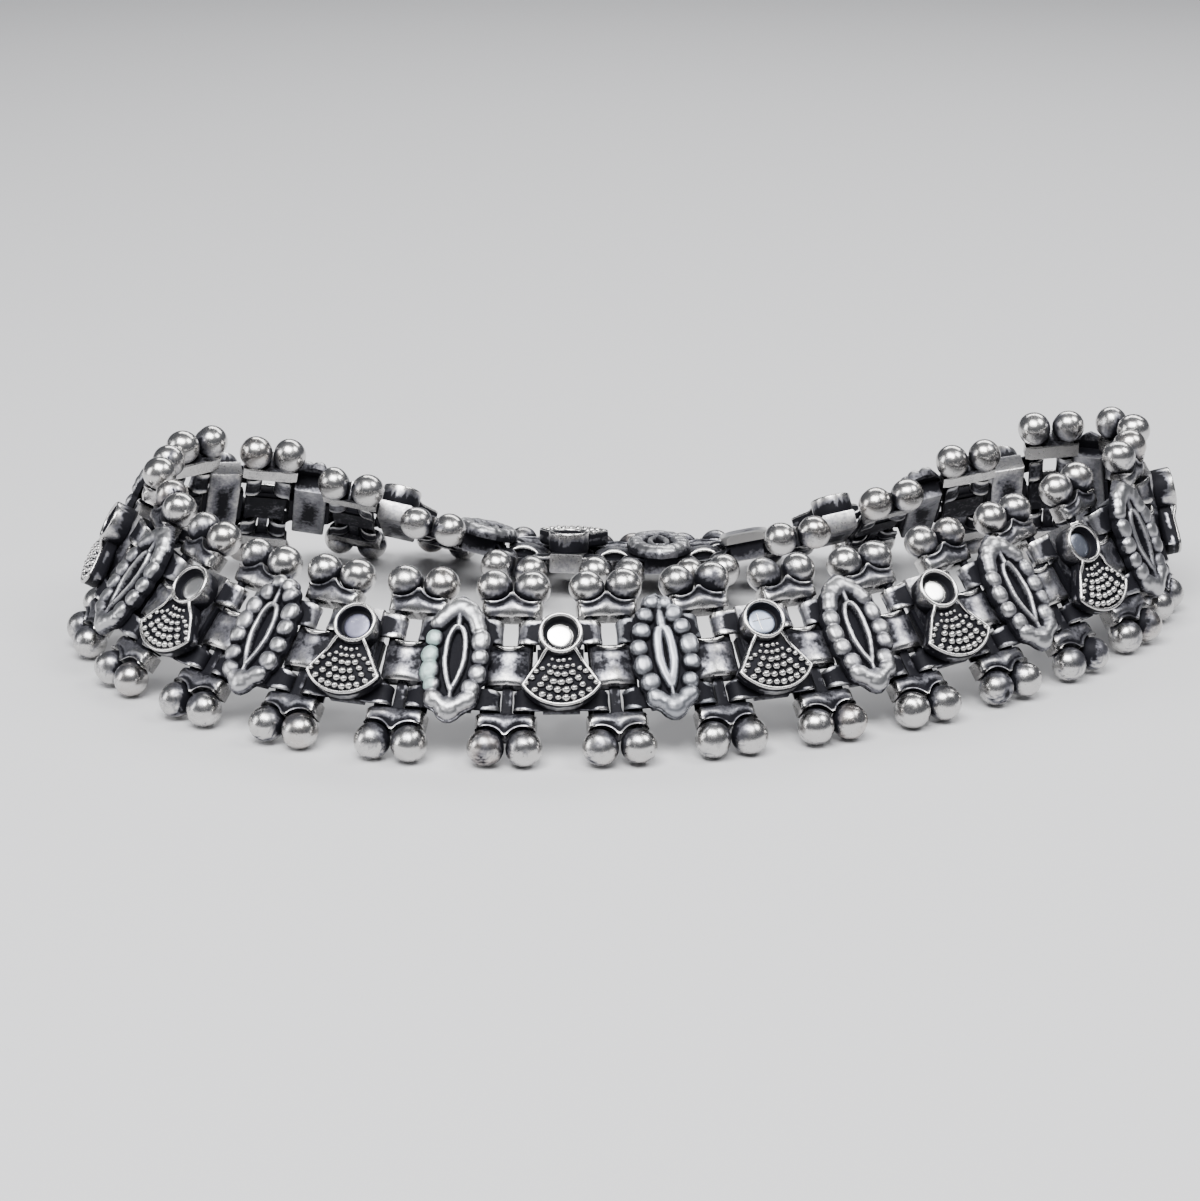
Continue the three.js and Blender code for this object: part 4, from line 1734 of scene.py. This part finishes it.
@dataclass
class Bracelet:
    """The whole bracelet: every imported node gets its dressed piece."""

    loop: Loop
    finisher: Finisher
    links: Link = field(default_factory=Link)
    maps: dict[Kind, WearMaps] = field(default_factory=dict)

    def shells_of(self, kind: Kind, rng: np.random.Generator, node: str = "") -> list[Shell]:
        """The surfaces of one piece of a kind.

        Args:
            kind: the piece's kind.
            rng: source of its small differences.
            node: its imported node, where it is one and not a sample.

        Returns:
            Its closed shells.
        """
        if kind is Kind.LINK:
            return self.links.shells(rng)
        if node in SINGULAR:
            return SINGULAR[node].shells(rng)
        return {Kind.MARQUISE: Marquise, Kind.FAN: Fan, Kind.CLASP: Clasp}[kind]().shells(rng)

    def measure(self) -> None:
        """Makes each kind's wear maps: a plaque's between two links, a link's between two backings."""
        sample = {kind: self.shells_of(kind, np.random.default_rng(SAMPLE_SEED)) for kind in Kind}
        plain = Backing().shells(np.random.default_rng(SAMPLE_SEED))
        for kind in Kind:
            beside = plain if kind is Kind.LINK else sample[Kind.LINK]
            self.maps[kind] = WearMaps.of(sample[kind], beside)

    def placed(self, shells: list[Shell], number: int, kind: Kind) -> Array:
        """Lays a piece's points on the loop.

        A vertex moves with its own piece's frame, or with a neighbouring link's by the share
        that its pull gives, so that a strap's fold stays on its pin.

        Args:
            shells: the piece's surfaces.
            number: its number along the band.
            kind: its kind.

        Returns:
            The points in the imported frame, in millimetres.
        """
        points = np.concatenate([s.points for s in shells])
        if kind is Kind.LINK:
            return transformed(self.loop.link_frame(number), points)
        pull = np.concatenate([np.zeros(len(s.points)) if s.pull is None else s.pull for s in shells])
        own = transformed(self.loop.plaque_frame(number), points)
        for side, link in ((-1, (number - 1) % PLAQUES), (1, number)):
            share = np.clip(side * pull, 0.0, 1.0)[:, None]
            there = transformed(self.loop.link_frame(link), points - [side * HALF_PITCH, 0.0, 0.0])
            own = own + share * (there - own)
        return own

    def dress(self, node: str) -> bpy.types.Object:
        """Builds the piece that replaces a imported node.

        Args:
            node: the node's name.

        Returns:
            The new object.
        """
        kind = Kind(node.split("_")[0])
        number = (PLAQUES - 1) // 2 if kind is Kind.CLASP else int(node.split("_")[1])
        rng = np.random.default_rng(SEEDS_A_KIND * list(Kind).index(kind) + number)
        shells = self.shells_of(kind, rng, node)
        # Measured wear plus each shell's bias; on the barrel, the straps and the lip the bias paints
        # highlights and shade.
        wear = np.concatenate([self.maps[kind].wear(s.points) + s.bias for s in shells])
        tint = np.concatenate([np.full(len(s.points), s.tint) for s in shells])
        tint += tint_of(node, np.concatenate([s.points for s in shells]))
        materials = [self.finisher.silver_material(SILVERS_BY_NODE.get(node, SILVERS[kind]))]
        if kind is Kind.FAN:
            choice = DISCS.get(node, Disc.SATIN)
            materials.append(self.finisher.disc_material(DISC_FINISHES[choice]))
        piece = mesh_object(f"dressed_{node}", shells, self.placed(shells, number, kind), materials)
        for name, values in (("wear", np.clip(wear, 0.0, 1.0)), ("tint", tint)):
            layer = piece.data.attributes.new(name, "FLOAT", "POINT")
            layer.data.foreach_set("value", values.astype(np.float32))
        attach(piece, "root")
        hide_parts(node)
        return piece


def tint_of(node: str, points: Array) -> Array:
    """The stains of two almonds: pale verdigris on the left of one, a cool bloom on the other.

    Args:
        node: the piece's name.
        points: its points in its own frame.

    Returns:
        The tint to add at each point.
    """
    x, y, z = points.T
    if node == "marquise_26":
        return 0.85 * smooth_step(0.9, 1.4, -x) * (z > 1.3) * (np.abs(y + 0.4) < 2.3)
    if node == "marquise_01":
        return 0.2 * smooth_step(1.3, 1.7, z)
    return np.zeros(len(points))


def transformed(matrix: Array, points: Array) -> Array:
    """Points carried by a 4 by 4 matrix."""
    return points @ matrix[:3, :3].T + matrix[:3, 3]


def mesh_object(name: str, shells: list[Shell], points: Array, materials: list) -> bpy.types.Object:
    """A mesh object from shells whose points have already been placed.

    Args:
        name: the object's name.
        shells: the surfaces, for their faces and material slots.
        points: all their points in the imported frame, in millimetres.
        materials: the materials, by slot.

    Returns:
        The object, at the origin, unturned and unscaled.
    """
    starts = np.cumsum([0] + [len(s.points) for s in shells])
    quads = np.concatenate([s.quads + start for s, start in zip(shells, starts)])
    tris = np.concatenate([s.tris + start for s, start in zip(shells, starts)])
    mesh = bpy.data.meshes.new(name)
    mesh.vertices.add(len(points))
    mesh.vertices.foreach_set("co", (points * MM).astype(np.float32).ravel())
    mesh.loops.add(quads.size + tris.size)
    mesh.loops.foreach_set("vertex_index", np.concatenate([quads.ravel(), tris.ravel()]).astype(np.int32))
    mesh.polygons.add(len(quads) + len(tris))
    heads = np.concatenate([np.arange(len(quads)) * 4, len(quads) * 4 + np.arange(len(tris)) * 3])
    mesh.polygons.foreach_set("loop_start", heads.astype(np.int32))
    slots = np.concatenate([np.full(len(s.quads), s.slot) for s in shells]
                           + [np.full(len(s.tris), s.slot) for s in shells])
    for material in materials:
        mesh.materials.append(material)
    mesh.update(calc_edges=True)
    mesh.polygons.foreach_set("material_index", slots.astype(np.int32))
    mesh.polygons.foreach_set("use_smooth", np.ones(len(slots), bool))
    mesh.set_sharp_from_angle(angle=math.radians(SHARP_EDGE))
    mesh.validate()
    piece = bpy.data.objects.new(name, mesh)
    bpy.context.scene.collection.objects.link(piece)
    return piece


# ---- the studio ------------------------------------------------------------------------------

@dataclass(frozen=True)
class Lamp:
    """A soft oblong light: its place and size in millimetres, and its power in watts."""

    name: str
    place: tuple[float, float, float]
    size: tuple[float, float]
    power: float


@dataclass
class Studio:
    """A plain pale floor, soft lights, and the camera. Lengths are in millimetres."""

    distance: float = 213.0
    elevation: float = 20.0
    slide_right: float = 2.76
    slide_up: float = 10.0
    lens: float = 90.0
    sensor: float = 36.0
    nearest: float = 5.0
    floor_half: float = 1500.0
    floor_color: Color = (0.56, 0.56, 0.57)
    floor_roughness: float = 0.7
    room_color: Color = (0.12, 0.125, 0.14)
    lamps: tuple[Lamp, ...] = (
        Lamp("key_light", (-50, -165, 335), (280, 190), 3.2),
        Lamp("right_light", (205, -40, 280), (130, 130), 0.7),
        Lamp("rear_light", (60, 260, 240), (360, 80), 0.8),
        Lamp("side_light", (-330, -60, 120), (120, 200), 0.5),
    )

    def floor(self) -> None:
        """The floor: a large flat square of pale matt board."""
        half = self.floor_half * MM
        mesh = bpy.data.meshes.new("floor")
        corners = [(-half, -half, 0), (half, -half, 0), (half, half, 0), (-half, half, 0)]
        mesh.from_pydata(corners, [], [(0, 1, 2, 3)])
        board = bpy.data.materials.new("pale_board")
        board.use_nodes = True
        shader = board.node_tree.nodes["Principled BSDF"]
        shader.inputs["Base Color"].default_value = color4(self.floor_color)
        shader.inputs["Roughness"].default_value = self.floor_roughness
        mesh.materials.append(board)
        floor = bpy.data.objects.new("floor", mesh)
        bpy.context.scene.collection.objects.link(floor)

    def lights(self) -> None:
        """Hangs the lamps, each facing the bracelet, in a dim room."""
        for lamp in self.lamps:
            light = bpy.data.lights.new(lamp.name, "AREA")
            light.shape = "RECTANGLE"
            light.size, light.size_y = lamp.size[0] * MM, lamp.size[1] * MM
            light.energy = lamp.power
            holder = bpy.data.objects.new(lamp.name, light)
            holder.location = Vector(lamp.place) * MM
            holder.rotation_euler = (-holder.location).to_track_quat("-Z", "Y").to_euler()
            bpy.context.scene.collection.objects.link(holder)
        world = bpy.data.worlds.new("dim_room")
        world.use_nodes = True
        world.node_tree.nodes["Background"].inputs["Color"].default_value = color4(self.room_color)
        bpy.context.scene.world = world

    def camera(self, aim: Array) -> None:
        """The camera, looking down at the front of the band.

        Args:
            aim: the floor point under the front plaque, in millimetres.
        """
        tilt = math.radians(self.elevation)
        forward = np.array([0.0, math.cos(tilt), -math.sin(tilt)])
        up = np.array([0.0, math.sin(tilt), math.cos(tilt)])
        place = aim - forward * self.distance + up * self.slide_up + np.array([self.slide_right, 0.0, 0.0])
        lens = bpy.data.cameras.new("camera")
        lens.lens = self.lens
        lens.sensor_width = self.sensor
        lens.clip_start = self.nearest * MM
        holder = bpy.data.objects.new("camera", lens)
        turn = Matrix.Rotation(math.pi / 2 - tilt, 4, "X")
        holder.matrix_world = Matrix.Translation(Vector(place) * MM) @ turn
        bpy.context.scene.collection.objects.link(holder)
        bpy.context.scene.camera = holder


def main() -> None:
    """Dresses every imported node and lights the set."""
    logging.basicConfig(level=logging.INFO, format="%(name)s: %(message)s")
    loop = Loop()
    loop.settle()
    bracelet = Bracelet(loop, Finisher.ready())
    bracelet.measure()
    faces = 0
    for node in sorted(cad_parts):
        piece = bracelet.dress(node)
        faces += len(piece.data.polygons)
        log.info("%s: %d faces", piece.name, len(piece.data.polygons))
    log.info("all pieces: %d faces", faces)
    studio = Studio()
    studio.floor()
    studio.lights()
    front = loop.plaque_frame(0)
    studio.camera(np.array([front[0, 3], front[1, 3], 0.0]))


if __name__ == "__main__":
    main()
